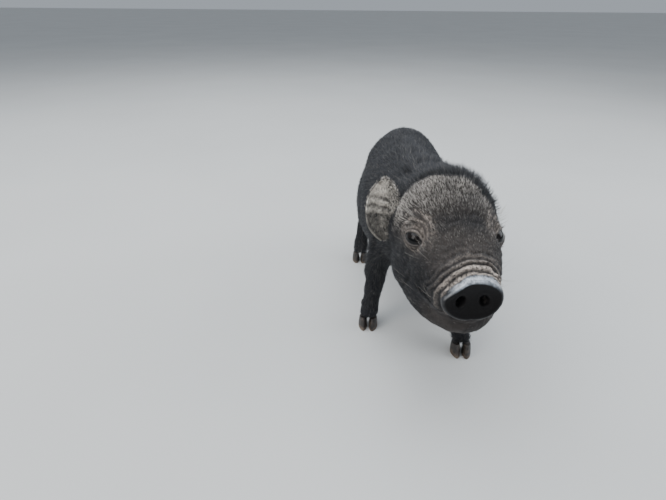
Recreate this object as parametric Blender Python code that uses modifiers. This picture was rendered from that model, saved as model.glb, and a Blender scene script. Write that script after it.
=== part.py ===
# A miniature piglet about two weeks old, life size, standing in mid step.
# It faces -Y, its left side is +X, and its claws stand on the plane z = 0. Sizes are in metres.

import math
import random

import bmesh
import bpy
import numpy as np
from mathutils import Matrix, Vector
from mathutils.bvhtree import BVHTree

MM = 0.001
GAP = 0.3 * MM

# Driving sizes of the trunk
RUMP_Y = 98 * MM
BACK_Z = 136 * MM
TRUNK_HALF_WIDTH = 39 * MM
HIP_Y = 60 * MM
SHOULDER_Y = -52 * MM

# Driving sizes of the head, whose own frame has its origin at the middle of the snout disc
DISC_PLACE = Vector((27 * MM, -163 * MM, 100.5 * MM))
HEAD_YAW = math.radians(7.4)
HEAD_PITCH = math.radians(-2)
HEAD_ROLL = math.radians(1)
DISC_HALF_WIDTH = 16.5 * MM
DISC_HALF_HEIGHT = 13.2 * MM
DISC_THICK = 4.5 * MM
DISC_TILT = math.radians(8)
EYE_RADIUS = 7.7 * MM
EYE_PLACE = Vector((21.2, 44.6, 12.8)) * MM
EYE_TURN_OUT = math.radians(48)
EYE_TURN_UP = math.radians(8)
EYE_SLANT = math.radians(-8)
LID_OPENING = Vector((7.0, 4.1)) * MM
LID_THICK = 1.3 * MM

# Each ear in the head's frame in millimetres: the low end of its root, its tip, and where its cup opens to
EARS = {
    "right": ((-34.5, 81, -7), (-37, 88, 31.5), (-0.46, -0.87, 0.12)),
    "left": ((34.5, 86, -9), (31, 102, 24), (0.78, -0.58, 0.2)),
}
EAR_HALF_WIDTH = 13.0 * MM
EAR_THICK = 1.8 * MM
EAR_ROOT_BEND = 3.0

CLAW_TOP = 8.6 * MM
CLAW_HALF_WIDTH = 3.7 * MM
CLAW_HALF_LENGTH = 7.2 * MM
CLAW_SPREAD = 4.2 * MM

# Locks of bristles: the row spacing, the spacing across a row, and the size at the root
LOCK_ROW = 5.6 * MM
LOCK_ASIDE = 5.6 * MM
LOCK_WIDE = 5.0 * MM
LOCK_THICK = 1.2 * MM
LOCK_SUNK = 2.2 * MM
LOCK_TURNS = (36, 60, 78)
BRUSH_TURNS = (3, 9, 12)
LOCK_SHAPE = (0.8, 1.0, 0.68)

VOXEL = 1.25 * MM
RING_POINTS = 28

HEAD_FRAME = (
    Matrix.Translation(DISC_PLACE)
    @ Matrix.Rotation(HEAD_YAW, 4, "Z")
    @ Matrix.Rotation(-HEAD_PITCH, 4, "X")
    @ Matrix.Rotation(-HEAD_ROLL, 4, "Y")
)
BODY_FRAME = Matrix.Identity(4)


def clear_scene():
    for obj in list(bpy.data.objects):
        bpy.data.objects.remove(obj)


def collection(name, shown=True):
    made = bpy.data.collections.new(name)
    bpy.context.scene.collection.children.link(made)
    made.hide_render = not shown
    return made


def material(name, colour, roughness):
    made = bpy.data.materials.new(name)
    made.use_nodes = True
    shader = made.node_tree.nodes["Principled BSDF"]
    shader.inputs["Base Color"].default_value = (*colour, 1)
    shader.inputs["Roughness"].default_value = roughness
    shader.inputs["Metallic"].default_value = 0
    return made


clear_scene()
PIG = collection("miniature_piglet")
CUTTERS = collection("cutters", shown=False)
SKIN = material("skin", (0.055, 0.047, 0.043), 0.62)
SNOUT_SKIN = material("snout_skin", (0.09, 0.075, 0.068), 0.5)
EAR_SKIN = material("ear_skin", (0.11, 0.085, 0.072), 0.6)
EYE = material("eye", (0.012, 0.009, 0.008), 0.08)
CLAW = material("claw", (0.03, 0.026, 0.024), 0.4)


def put(mesh, name, where=CUTTERS, look=None):
    """A mesh as an object of that name, in the part's collection or among the cutters."""
    obj = bpy.data.objects.new(name, mesh)
    where.objects.link(obj)
    if where is CUTTERS:
        obj.hide_render = True
        obj.display_type = "WIRE"
    if look:
        obj.data.materials.clear()
        obj.data.materials.append(look)
    return obj


def from_bmesh(bm, name, where=CUTTERS):
    mesh = bpy.data.meshes.new(name)
    bm.to_mesh(mesh)
    bm.free()
    return put(mesh, name, where)


def applied(obj):
    """The object with its modifiers made part of its mesh."""
    bpy.context.view_layer.update()
    graph = bpy.context.evaluated_depsgraph_get()
    mesh = bpy.data.meshes.new_from_object(obj.evaluated_get(graph))
    obj.modifiers.clear()
    obj.data = mesh
    return obj


def copied(obj, name, where=CUTTERS):
    return put(obj.data.copy(), name, where)


def drop(*objs):
    for obj in objs:
        bpy.data.objects.remove(obj)


# Rounded lofts along a bent line: trunk, neck, muzzle, jaw and legs


def smooth_rows(rows, steps):
    """Rows of numbers joined by a Catmull-Rom curve, with that many steps from each row to the next."""
    rows = [np.array(row, float) for row in rows]
    padded = [2 * rows[0] - rows[1], *rows, 2 * rows[-1] - rows[-2]]
    found = []
    for a, b, c, d in zip(padded, padded[1:], padded[2:], padded[3:]):
        for step in range(steps):
            t = step / steps
            found.append(
                0.5 * (2 * b + (c - a) * t + (2 * a - 5 * b + 4 * c - d) * t**2 + (3 * b - a - 3 * c + d) * t**3)
            )
    return [*found, rows[-1]]


def loft(name, stations, frame, steps=4, ripple=None, egg=0, level=False, points=RING_POINTS):
    """A closed loft. Each station is x, y, z of its middle, its half width and its half height, in millimetres."""
    side = Vector((1, 0, 0))
    rows = smooth_rows(stations, steps)
    bm = bmesh.new()
    rings = []
    for i, row in enumerate(rows):
        along = Vector(rows[min(i + 1, len(rows) - 1)][:3]) - Vector(rows[max(i - 1, 0)][:3])
        if level:
            along = Vector((0, 0, -1))
        along.normalize()
        across = side - side.dot(along) * along
        across.normalize()
        lift = across.cross(along)
        ring = []
        for k in range(points):
            turn = 2 * math.pi * k / points
            grow = ripple(row, turn) if ripple else 0
            place = (
                Vector(row[:3])
                + across * (max(row[3], 0.3) + grow) * math.cos(turn) * (1 - egg * math.sin(turn))
                + lift * (max(row[4], 0.3) + grow) * math.sin(turn)
            )
            ring.append(bm.verts.new(frame @ (place * MM)))
        rings.append(ring)
    for ring, following in zip(rings, rings[1:]):
        for k in range(points):
            j = (k + 1) % points
            bm.faces.new((ring[k], ring[j], following[j], following[k]))
    bm.faces.new(rings[0])
    bm.faces.new(rings[-1])
    bmesh.ops.recalc_face_normals(bm, faces=bm.faces)
    return from_bmesh(bm, name)


def ellipsoid(name, place, radii, frame, turn=None, segments=24):
    bm = bmesh.new()
    bmesh.ops.create_uvsphere(bm, u_segments=segments, v_segments=segments // 2, radius=1)
    shape = Matrix.Diagonal((*[r * MM for r in radii], 1))
    spin = turn or Matrix.Identity(4)
    bm.transform(frame @ Matrix.Translation(Vector(place) * MM) @ spin @ shape)
    return from_bmesh(bm, name)


def mirrored(place):
    return ((1, place), (-1, (-place[0], *place[1:])))


# Trunk and neck


def trunk():
    rump, back, wide = RUMP_Y / MM, BACK_Z / MM, TRUNK_HALF_WIDTH / MM
    return loft(
        "trunk",
        [
            (16, rump - 200, back - 27, 15, 18),
            (15, rump - 187, back - 29, 25, 29),
            (12, rump - 169, back - 33, 32, 36),
            (7, rump - 147, back - 39, wide - 3, 41),
            (2, rump - 117, back - 44, wide, 43),
            (0, rump - 86, back - 45, wide + 2, 44),
            (0, rump - 56, back - 42, wide - 1, 42),
            (0, rump - 31, back - 39, wide - 4, 39),
            (0, rump - 13, back - 38, 29, 33),
            (0, rump - 3, back - 38, 19, 24),
            (0, rump, back - 38, 9, 12),
        ],
        BODY_FRAME,
        egg=0.13,
    )


def neck():
    return loft(
        "neck_form",
        [
            (17, -106, 105, 22, 26),
            (15, -92, 105, 30, 33),
            (12, -72, 103, 33, 36),
            (8, -52, 100, 33, 36),
            (3, -30, 95, 30, 33),
        ],
        BODY_FRAME,
    )


def hips_and_shoulders():
    """The mass of the haunches and of the shoulders over the tops of the legs."""
    made = []
    for x, place in mirrored((19, HIP_Y / MM + 2, 92)):
        turn = Matrix.Rotation(math.radians(-18), 4, "X")
        made.append(ellipsoid(f"haunch{x}", place, (17, 24, 31), BODY_FRAME, turn))
    for x in (1, -1):
        place = (6 + 20 * x, SHOULDER_Y / MM + 4, 88)
        turn = Matrix.Rotation(math.radians(16), 4, "X")
        made.append(ellipsoid(f"shoulder{x}", place, (15, 19, 29), BODY_FRAME, turn))
    return made


# Head


def muzzle_fold(row, turn):
    """The folds of loose skin over the top and sides of the muzzle, behind the disc."""
    first, last, pitch, height = 7.0, 27.0, 5.0, 0.75
    y = row[1]
    if not first < y < last:
        return 0
    over = max(0, math.sin(turn) + 0.35) / 1.35
    fade = math.sin(math.pi * (y - first) / (last - first)) ** 0.5
    return height * over * fade * math.cos(2 * math.pi * (y - first) / pitch + math.pi)


def muzzle():
    return loft(
        "muzzle",
        [
            (0, 1.5, -0.5, 14.2, 11.2),
            (0, 5, -0.3, 14.8, 12.6),
            (0, 9, 0.3, 17.0, 14.4),
            (0, 15, 1.2, 19.8, 16.2),
            (0, 22, 3.0, 22.0, 17.6),
            (0, 31, 5.2, 25.0, 19.8),
            (0, 41, 8, 28.5, 23),
            (0, 52, 10, 31, 28),
            (0, 64, 10, 30, 28),
        ],
        HEAD_FRAME,
        steps=7,
        ripple=muzzle_fold,
    )


def jaw():
    return loft(
        "jaw",
        [
            (0, 2.2, -18.5, 5.0, 3.2),
            (0, 4.5, -19.5, 11.2, 6.6),
            (0, 9, -20.6, 16.4, 9.4),
            (0, 18, -20.8, 22.6, 12.4),
            (0, 30, -20.0, 28.0, 15.2),
            (0, 44, -18.5, 30.5, 17.8),
            (0, 60, -16, 31.0, 19.0),
            (0, 78, -12, 28, 19),
        ],
        HEAD_FRAME,
    )


def disc_frame():
    return HEAD_FRAME @ Matrix.Translation((0, 0, -1.3 * MM)) @ Matrix.Rotation(-DISC_TILT, 4, "X")


def snout_disc():
    wide, high, thick = DISC_HALF_WIDTH / MM, DISC_HALF_HEIGHT / MM, DISC_THICK / MM
    return loft(
        "disc",
        [
            (0, -0.3, 0, wide - 3.2, high - 3.0),
            (0, 0.1, 0, wide - 1.4, high - 1.3),
            (0, 1.2, 0, wide, high),
            (0, thick - 1.5, 0.2, wide, high),
            (0, thick, 0.4, wide - 1.2, high - 1.0),
            (0, thick + 2, 0.6, wide - 2.4, high - 1.8),
        ],
        disc_frame(),
        steps=3,
    )


def skull_forms():
    """The dome of the forehead, the poll, the jowls and the cheeks under the eyes."""
    made = [
        ellipsoid("dome", (0, 67, 13), (33.0, 31, 31.5), HEAD_FRAME),
        ellipsoid("poll", (0, 86, 8), (28, 24, 27), HEAD_FRAME),
        ellipsoid("forehead", (0, 49, 20), (24, 16, 17), HEAD_FRAME),
    ]
    for x, place in mirrored((17, 58, -13)):
        made.append(ellipsoid(f"jowl{x}", place, (17, 27, 19), HEAD_FRAME))
    for x, place in mirrored((17, 46, 21)):
        made.append(ellipsoid(f"brow{x}", place, (11, 9, 8), HEAD_FRAME))
    for x, place in mirrored((18, 36, -3)):
        made.append(ellipsoid(f"cheek{x}", place, (10, 15, 11), HEAD_FRAME))
    return made


def face_details():
    """The balls of the lids and the hanging sides of the upper lip."""
    made = []
    for x in (1, -1):
        made.append(ellipsoid(f"lids{x}", (0, 0, 0), [(EYE_RADIUS + LID_THICK) / MM] * 3, eye_frame(x)))
    for x, place in mirrored((11.5, 15, -8.5)):
        turn = Matrix.Rotation(math.radians(-14) * x, 4, "Z")
        made.append(ellipsoid(f"lip{x}", place, (7.5, 13, 7), HEAD_FRAME, turn))
    return made


def eye_frame(x):
    """The eye's frame on the side x: its origin is the middle of the eyeball, and -Y is where it looks."""
    place = Vector((EYE_PLACE.x * x, EYE_PLACE.y, EYE_PLACE.z))
    return (
        HEAD_FRAME
        @ Matrix.Translation(place)
        @ Matrix.Rotation(EYE_TURN_OUT * x, 4, "Z")
        @ Matrix.Rotation(-EYE_TURN_UP, 4, "X")
        @ Matrix.Rotation(EYE_SLANT * x, 4, "Y")
    )


# Legs


def leg_stations(kind, x, reach, aside):
    """A leg from inside the trunk to its pastern, its foot moved forwards by reach and outwards by aside."""
    if kind == "front":
        y = SHOULDER_Y / MM
        middle = 6.0
        rows = [
            (16, y + 8, 104, 10, 15),
            (21, y + 4, 90, 14, 19),
            (23, y + 2, 74, 13.5, 17.5),
            (24, y + 3, 61, 11.6, 13.5),
            (24, y + 3, 48, 9.8, 10.4),
            (24, y + 1, 37, 9.0, 9.2),
            (24, y + 1, 27, 7.8, 7.9),
            (24, y - 1, 17, 7.9, 8.1),
            (24, y - 4, 10, 8.2, 8.4),
            (24, y - 5, 5, 7.8, 8.0),
        ]
    else:
        y = HIP_Y / MM
        middle = 0.0
        rows = [
            (17, y + 6, 106, 13, 20),
            (22, y + 3, 92, 15, 24),
            (27, y - 2, 76, 15, 21.5),
            (29.5, y + 1, 62, 12, 16),
            (30, y + 8, 50, 9.6, 11.6),
            (30.5, y + 13.5, 40, 8.2, 9.8),
            (31, y + 12, 28, 7.5, 8.0),
            (31.5, y + 9, 17, 7.8, 8.0),
            (31.5, y + 5, 10, 8.1, 8.3),
            (31.5, y + 4, 5, 7.7, 7.9),
        ]
    found = []
    for px, py, pz, half_wide, half_deep in rows:
        swing = min(max((78 - pz) / 70, 0), 1)
        found.append((middle + (px + aside * swing) * x, py - reach * swing, pz, half_wide, half_deep))
    return found


# The stride: how far each foot is ahead of where it would stand square, and how far out to its side
STRIDE = {
    "front_left": (27, 15),
    "front_right": (0, 9),
    "hind_left": (-10, 4),
    "hind_right": (10, 6),
}


def legs():
    """Each leg's side, stations and the middle of its foot on the floor."""
    found = {}
    for name, (reach, aside) in STRIDE.items():
        kind, side = name.split("_")
        x = 1 if side == "left" else -1
        stations = leg_stations(kind, x, reach, aside)
        foot = Vector((stations[-1][0], stations[-1][1] - 1.5, 0)) * MM
        found[name] = (x, stations, foot)
    return found


# Joining into one skin


def joined(name, objs):
    bm = bmesh.new()
    for obj in objs:
        bm.from_mesh(obj.data)
    drop(*objs)
    return from_bmesh(bm, name)


def one_skin(name, objs, soften):
    """One closed surface round all these forms, softened where they meet."""
    body = joined(name, objs)
    remesh = body.modifiers.new("Remesh", "REMESH")
    remesh.mode = "VOXEL"
    remesh.voxel_size = VOXEL
    smooth = body.modifiers.new("Smooth", "SMOOTH")
    smooth.factor = 0.5
    smooth.iterations = soften
    return applied(body)


def decimated(obj, faces):
    """The object thinned to about that many triangles, most where it curves most."""
    obj.data.calc_loop_triangles()
    thin = obj.modifiers.new("Decimate", "DECIMATE")
    thin.ratio = min(1, faces / len(obj.data.loop_triangles))
    return applied(obj)


def kept_side(obj, point, normal, offset):
    """Cuts off what lies on the normal's side of a plane that is offset along it, and closes the cut."""
    bm = bmesh.new()
    bm.from_mesh(obj.data)
    bmesh.ops.triangulate(bm, faces=bm.faces)
    bmesh.ops.bisect_plane(
        bm,
        geom=[*bm.verts, *bm.edges, *bm.faces],
        dist=1e-7,
        plane_co=point + normal * offset,
        plane_no=normal,
        clear_outer=True,
    )
    rim = [edge for edge in bm.edges if edge.is_boundary]
    made = bmesh.ops.edgeloop_fill(bm, edges=rim)["faces"]
    bmesh.ops.recalc_face_normals(bm, faces=bm.faces)
    bmesh.ops.triangulate(bm, faces=[face for face in made if face.is_valid])
    bm.to_mesh(obj.data)
    bm.free()
    return obj


def cut(obj, others, operation="DIFFERENCE", solver="EXACT"):
    for other in others:
        boolean = obj.modifiers.new("Boolean", "BOOLEAN")
        boolean.operation = operation
        boolean.solver = solver
        boolean.object = other
    return applied(obj)


def grown(obj, name, by):
    """A copy whose surface lies that much further out."""
    made = copied(obj, name)
    push = made.modifiers.new("Displace", "DISPLACE")
    push.strength = by
    push.mid_level = 0
    return applied(made)


def largest_body(obj):
    """The object with only its largest closed surface kept, and its loose scraps dropped."""
    bm = bmesh.new()
    bm.from_mesh(obj.data)
    bm.verts.ensure_lookup_table()
    left, groups = set(bm.verts), []
    while left:
        group, edge = set(), [left.pop()]
        while edge:
            vert = edge.pop()
            group.add(vert)
            for link in vert.link_edges:
                other = link.other_vert(vert)
                if other in left:
                    left.remove(other)
                    edge.append(other)
        groups.append(group)
    groups.sort(key=len)
    for group in groups[:-1]:
        bmesh.ops.delete(bm, geom=list(group), context="VERTS")
    bm.to_mesh(obj.data)
    bm.free()
    return obj


def node(obj, name, look):
    """Moves a finished solid to the part's collection under its own name, its origin in its own middle."""
    corners = [Vector(corner) for corner in obj.bound_box]
    middle = sum(corners, Vector()) / 8
    obj.data.transform(Matrix.Translation(-middle))
    obj.location = middle
    for holder in list(obj.users_collection):
        holder.objects.unlink(obj)
    PIG.objects.link(obj)
    obj.name = name
    obj.hide_render = False
    obj.display_type = "SOLID"
    obj.data.materials.clear()
    obj.data.materials.append(look)
    obj.data.shade_smooth()
    return obj


# Cuts in the head: eye openings, nostrils and the line of the mouth


def eye_cutters(x):
    """The eyeball with its clearance, and the almond opening between the lids."""
    frame = eye_frame(x)
    ball = ellipsoid(f"socket{x}", (0, 0, 0), [(EYE_RADIUS + GAP) / MM] * 3, frame)
    wide, high = LID_OPENING / MM
    bm = bmesh.new()
    points = 18
    for turn in range(points):
        angle = 2 * math.pi * turn / points
        squeeze = abs(math.sin(angle)) ** 1.35
        bm.verts.new(
            (wide * math.cos(angle), -3, math.copysign(high * squeeze, math.sin(angle)))
        )
    face = bm.faces.new(bm.verts)
    out = bmesh.ops.extrude_face_region(bm, geom=[face])
    far = [v for v in out["geom"] if isinstance(v, bmesh.types.BMVert)]
    bmesh.ops.translate(bm, verts=far, vec=(0, -14, 0))
    bmesh.ops.scale(bm, verts=far, vec=(1.4, 1, 1.6))
    bmesh.ops.recalc_face_normals(bm, faces=bm.faces)
    bm.transform(frame @ Matrix.Scale(MM, 4))
    return [ball, from_bmesh(bm, f"opening{x}")]


def nostril(x):
    """An oval hole that runs back and a little outwards from the disc."""
    turn = Matrix.Rotation(math.radians(10) * x, 4, "Z") @ Matrix.Rotation(math.radians(18) * x, 4, "Y")
    return ellipsoid(f"nostril{x}", (6.4 * x, 1.5, -0.6), (2.7, 7.0, 3.7), disc_frame(), turn, segments=16)


def surface_tree(obj):
    bm = bmesh.new()
    bm.from_mesh(obj.data)
    tree = BVHTree.FromBMesh(bm)
    bm.free()
    return tree


def mouth_line(head):
    """A groove that follows the skin from the corner of one side of the mouth, under the disc, to the other."""
    tree = surface_tree(head)
    back, drop_z, lift, radius, points = 33.0, -13.6, 4.0, 0.85, 23
    places = []
    for i in range(points):
        turn = math.pi * (i / (points - 1) - 0.5)
        y = back * (1 - math.cos(turn) ** 0.8)
        start = HEAD_FRAME @ (Vector((0, 10 + y * 0.8, drop_z + lift * (y / back) ** 2)) * MM)
        ahead = HEAD_FRAME.to_3x3() @ Vector((math.sin(turn), -max(math.cos(turn), 0), 0))
        hit = tree.ray_cast(start, ahead.normalized())[0]
        if hit:
            places.append(hit)
    line = bpy.data.curves.new("mouth_line", "CURVE")
    line.dimensions = "3D"
    line.bevel_depth = radius * MM
    line.bevel_resolution = 1
    line.use_fill_caps = True
    spline = line.splines.new("POLY")
    spline.points.add(len(places) - 1)
    for point, place in zip(spline.points, places):
        point.co = (*place, 1)
    holder = bpy.data.objects.new("mouth_line", line)
    CUTTERS.objects.link(holder)
    bpy.context.view_layer.update()
    graph = bpy.context.evaluated_depsgraph_get()
    mesh = bpy.data.meshes.new_from_object(holder.evaluated_get(graph))
    drop(holder)
    bm = bmesh.new()
    bm.from_mesh(mesh)
    bmesh.ops.remove_doubles(bm, verts=bm.verts, dist=1e-6)
    bmesh.ops.recalc_face_normals(bm, faces=bm.faces)
    return from_bmesh(bm, "mouth_groove")


# Ears


def ear_frame(side):
    """The ear's frame: +Z runs up to its tip, and the cup opens towards -Y."""
    root, tip, opening = (Vector(value) for value in EARS[side])
    up = (tip - root).normalized()
    back = -(opening - opening.dot(up) * up).normalized()
    across = back.cross(up)
    turn = Matrix((across, back, up)).transposed().to_4x4()
    return HEAD_FRAME @ Matrix.Translation(root * MM) @ turn, (tip - root).length


def ear(side):
    """A thin cup, rounded at its tip, with soft ridges inside and its root bent in towards the head."""
    frame, long = ear_frame(side)
    wide = EAR_HALF_WIDTH / MM
    outward = HEAD_FRAME.to_3x3() @ Vector((1 if side == "left" else -1, 0, 0))
    inward = -(frame.to_3x3().inverted() @ outward)
    bm = bmesh.new()
    bmesh.ops.create_grid(bm, x_segments=8, y_segments=10, size=1)
    for vert in bm.verts:
        u, t = vert.co.x, (vert.co.y + 1) / 2
        half = wide * math.sin(math.pi * (0.1 + 0.66 * t)) ** 0.85 * max(1 - t**8, 0) ** 0.5
        half = max(half, 1.6)
        roll = math.radians(84) * (1 - 0.66 * t)
        bend = half / roll
        ridge = 0.5 * math.cos(u * math.pi * 3) * math.sin(math.pi * min(t * 1.25, 1)) * (1 - abs(u))
        vert.co = Vector(
            (
                bend * math.sin(roll * u),
                -bend * (1 - math.cos(roll * u)) - ridge,
                long * t + 1.5 * (1 - u * u) * t,
            )
        )
        vert.co.y += 4.5 * t * t
        vert.co += inward * EAR_ROOT_BEND * max(1 - t / 0.35, 0) ** 2
    bmesh.ops.recalc_face_normals(bm, faces=bm.faces)
    bm.transform(frame @ Matrix.Scale(MM, 4))
    sheet = from_bmesh(bm, f"ear_form_{side}")
    wall = sheet.modifiers.new("Solidify", "SOLIDIFY")
    wall.thickness = EAR_THICK
    wall.offset = 0
    round_off = sheet.modifiers.new("Bevel", "BEVEL")
    round_off.width = 0.45 * MM
    round_off.segments = 1
    round_off.limit_method = "ANGLE"
    round_off.angle_limit = math.radians(60)
    return applied(sheet)


# Feet


def claw(name, foot, side):
    """One of the two main claws of a foot, pointed in front and flat on the floor."""
    wide, long = CLAW_HALF_WIDTH, CLAW_HALF_LENGTH
    bm = bmesh.new()
    bmesh.ops.create_uvsphere(bm, u_segments=12, v_segments=8, radius=1)
    for vert in bm.verts:
        x, y, z = vert.co
        taper = 1 - 0.32 * max(-y, 0) ** 1.5
        height = z * 12 * MM + 1.5 * MM
        vert.co = (x * wide * taper + side * 0.7 * MM * y, y * long * 1.05 + 0.26 * height, height)
    bm.transform(Matrix.Translation(foot + Vector((side * CLAW_SPREAD, -1.5 * MM, 0))))
    made = from_bmesh(bm, name)
    kept_side(made, Vector(), Vector((0, 0, -1)), 0)
    top, lean = coronet(foot)
    return kept_side(made, top, lean, -GAP / 2)


def coronet(foot):
    """The plane where the claws meet the pastern: higher in front than at the heel."""
    lean = Vector((0, math.sin(math.radians(14)), math.cos(math.radians(14))))
    return foot + Vector((0, 0, CLAW_TOP)), lean


def dewclaw(name, tree, foot, side):
    """One of the two small claws on the back of the pastern, set where the skin is."""
    start = foot + Vector((side * 4.4, 60, 16.5)) * MM
    skin = tree.ray_cast(start, Vector((0, -1, 0)))[0]
    bm = bmesh.new()
    bmesh.ops.create_uvsphere(bm, u_segments=9, v_segments=7, radius=1)
    turn = Matrix.Rotation(math.radians(24), 4, "X")
    place = Matrix.Translation(skin + Vector((0, -0.4, -1.0)) * MM)
    bm.transform(place @ turn @ Matrix.Diagonal((2.4 * MM, 2.9 * MM, 4.2 * MM, 1)))
    return from_bmesh(bm, name)


# Tail


def tail():
    """A thin straight tail that hangs from the rump and swings a little to one side."""
    line = bpy.data.curves.new("tail_line", "CURVE")
    line.dimensions = "3D"
    line.bevel_depth = 1 * MM
    line.bevel_resolution = 2
    line.use_fill_caps = True
    rows = smooth_rows(
        [
            (0, RUMP_Y / MM - 12, 117, 4.3),
            (0.5, RUMP_Y / MM + 1, 113, 3.6),
            (2, RUMP_Y / MM + 9, 103, 3.0),
            (4, RUMP_Y / MM + 12, 89, 2.5),
            (5, RUMP_Y / MM + 12, 75, 2.0),
            (5, RUMP_Y / MM + 11, 62, 1.3),
            (4.5, RUMP_Y / MM + 10.5, 57, 0.7),
        ],
        4,
    )
    spline = line.splines.new("POLY")
    spline.points.add(len(rows) - 1)
    for point, row in zip(spline.points, rows):
        point.co = (*(Vector(row[:3]) * MM), 1)
        point.radius = row[3]
    holder = bpy.data.objects.new("tail_line", line)
    CUTTERS.objects.link(holder)
    bpy.context.view_layer.update()
    graph = bpy.context.evaluated_depsgraph_get()
    mesh = bpy.data.meshes.new_from_object(holder.evaluated_get(graph))
    drop(holder)
    bm = bmesh.new()
    bm.from_mesh(mesh)
    bmesh.ops.remove_doubles(bm, verts=bm.verts, dist=1e-6)
    bmesh.ops.recalc_face_normals(bm, faces=bm.faces)
    return from_bmesh(bm, "tail_form")


def leg_cutter(name, x, stations):
    """A capsule round one leg, up to the shoulder or the haunch, that parts it from the trunk."""
    rows = []
    for px, py, pz, half_wide, half_deep in stations:
        if pz < 80:
            shift = 8 if pz > 55 else 4
            rows.append((px + shift * x, py, pz, half_wide + shift + 3.5, half_deep + 8))
    px, py, pz, half_wide, half_deep = rows[0]
    top = [
        (px - 1.0 * x, py, pz + 13, half_wide * 0.3, half_deep * 0.3),
        (px - 1.0 * x, py, pz + 11.5, half_wide * 0.58, half_deep * 0.58),
        (px - 0.5 * x, py, pz + 7, half_wide * 0.86, half_deep * 0.86),
    ]
    px, py, pz, half_wide, half_deep = rows[-1]
    rows.append((px, py, -8, half_wide, half_deep))
    return loft(name, [*top, *rows], BODY_FRAME, steps=1, level=True, points=18)


# Locks of bristles


def lock(name, start, rise, lie, long, wide=LOCK_WIDE, thick=LOCK_THICK, turns=LOCK_TURNS):
    """A flat tapered lock that leaves its start along rise and bends over towards lie."""
    across = rise.cross(lie).normalized()
    bm = bmesh.new()
    rings, place = [], start.copy()
    for turn, size in zip(turns, LOCK_SHAPE):
        along = rise * math.cos(math.radians(turn)) + lie * math.sin(math.radians(turn))
        face = across.cross(along) * thick / 2
        side = across * wide / 2
        rings.append([bm.verts.new(place + way * size) for way in (side, face, -side, -face)])
        place += along * long / len(turns)
    tip = bm.verts.new(place)
    bm.faces.new(rings[0])
    for k in range(4):
        j = (k + 1) % 4
        for ring, following in zip(rings, rings[1:]):
            bm.faces.new((ring[k], ring[j], following[j], following[k]))
        bm.faces.new((rings[-1][k], rings[-1][j], tip))
    bmesh.ops.recalc_face_normals(bm, faces=bm.faces)
    bmesh.ops.triangulate(bm, faces=bm.faces)
    return from_bmesh(bm, name)


def with_locks(obj, locks):
    """The object with its locks fused to it by one union, as one closed body."""
    if not locks:
        return obj
    holder = collection(f"{obj.name}_locks", shown=False)
    for made in locks:
        CUTTERS.objects.unlink(made)
        holder.objects.link(made)
    union = obj.modifiers.new("Locks", "BOOLEAN")
    union.operation = "UNION"
    union.operand_type = "COLLECTION"
    union.collection = holder
    union.solver = "MANIFOLD"
    applied(obj)
    drop(*locks)
    bpy.data.collections.remove(holder)
    return largest_body(obj)


def mane_rows():
    """The mane from the brow of the dome to behind the withers: each row's middle, half width and length."""
    crest = [
        (HEAD_FRAME @ (Vector((0, 54, 60)) * MM), 15, 8.5),
        (HEAD_FRAME @ (Vector((0, 74, 60)) * MM), 15, 11.5),
        (HEAD_FRAME @ (Vector((0, 94, 60)) * MM), 11, 13),
        (Vector((7, -48, 160)) * MM, 9, 13),
        (Vector((2, -24, 160)) * MM, 7, 11.5),
        (Vector((0, 8, 160)) * MM, 4, 9),
        (Vector((0, 24, 160)) * MM, 2, 8),
    ]
    rows = [(*place, half, long) for place, half, long in crest]
    fine = smooth_rows(rows, 24)
    found, walked = [], LOCK_ROW
    for before, row in zip([fine[0], *fine], fine):
        walked += math.dist(before[:3], row[:3])
        if walked >= LOCK_ROW:
            found.append((Vector(row[:3]), row[3] * MM, row[4] * MM))
            walked = 0
    return found


def mane(parts):
    """The locks of the mane, listed by the name of the part that each grows from."""
    rng = random.Random(11)
    trees = {name: surface_tree(obj) for name, obj in parts.items()}
    seams = (HEAD_CUT, NECK_CUT)
    found = {name: [] for name in parts}
    for i, (middle, half, long) in enumerate(mane_rows()):
        count = max(1, round(2 * half / LOCK_ASIDE + (i % 2)))
        for k in range(count):
            aside = (k - (count - 1) / 2) * LOCK_ASIDE + rng.uniform(-0.6, 0.6) * MM
            start = middle + Vector((aside, rng.uniform(-0.8, 0.8) * MM, 0))
            hits = [(tree.ray_cast(start, Vector((0, 0, -1))), name) for name, tree in trees.items()]
            hits = [(hit[0].z, hit, name) for hit, name in hits if hit[0]]
            if not hits:
                continue
            (place, out, _, _), name = max(hits, key=lambda item: item[0])[1:]
            if any(abs((place - point).dot(normal)) < LOCK_WIDE * 0.62 for point, normal in seams):
                continue
            lie = Vector((aside / MM * 0.03 + rng.uniform(-0.16, 0.16), 1, 0))
            lie = (lie - lie.dot(out) * out).normalized()
            size = long * rng.uniform(0.85, 1.12) + LOCK_SUNK
            made = lock(f"lock_{i}_{k}", place - out * LOCK_SUNK, out, lie, size)
            found[name].append(made)
    return found


def tail_brush():
    """The thin brush of bristles round the end of the tail."""
    found = []
    down = Vector((0, 0, -1))
    for i, (x, y) in enumerate(((1, 0.2), (-0.9, 0.4), (0.3, 0.6), (-0.2, -1))):
        start = Vector((5, RUMP_Y / MM + 11.4, 70 - 2.4 * i)) * MM
        aside = Vector((x, y, 0)).normalized()
        found.append(lock(f"brush_{i}", start, down, aside, 13 * MM, 2.6 * MM, 1 * MM, BRUSH_TURNS))
    return found


# Where the head, the neck and the trunk are parted
HEAD_CUT = (HEAD_FRAME @ (Vector((0, 90, 0)) * MM), HEAD_FRAME.to_3x3() @ Vector((0, 0.962, -0.273)))
NECK_CUT = (BODY_FRAME @ (Vector((2, -52, 100)) * MM), Vector((0, 0.876, -0.482)).normalized())
SNOUT_CUT = (HEAD_FRAME @ (Vector((0, 27.5, 0)) * MM), HEAD_FRAME.to_3x3() @ Vector((0, 1, 0)))
OVERLAP = 2 * MM

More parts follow.
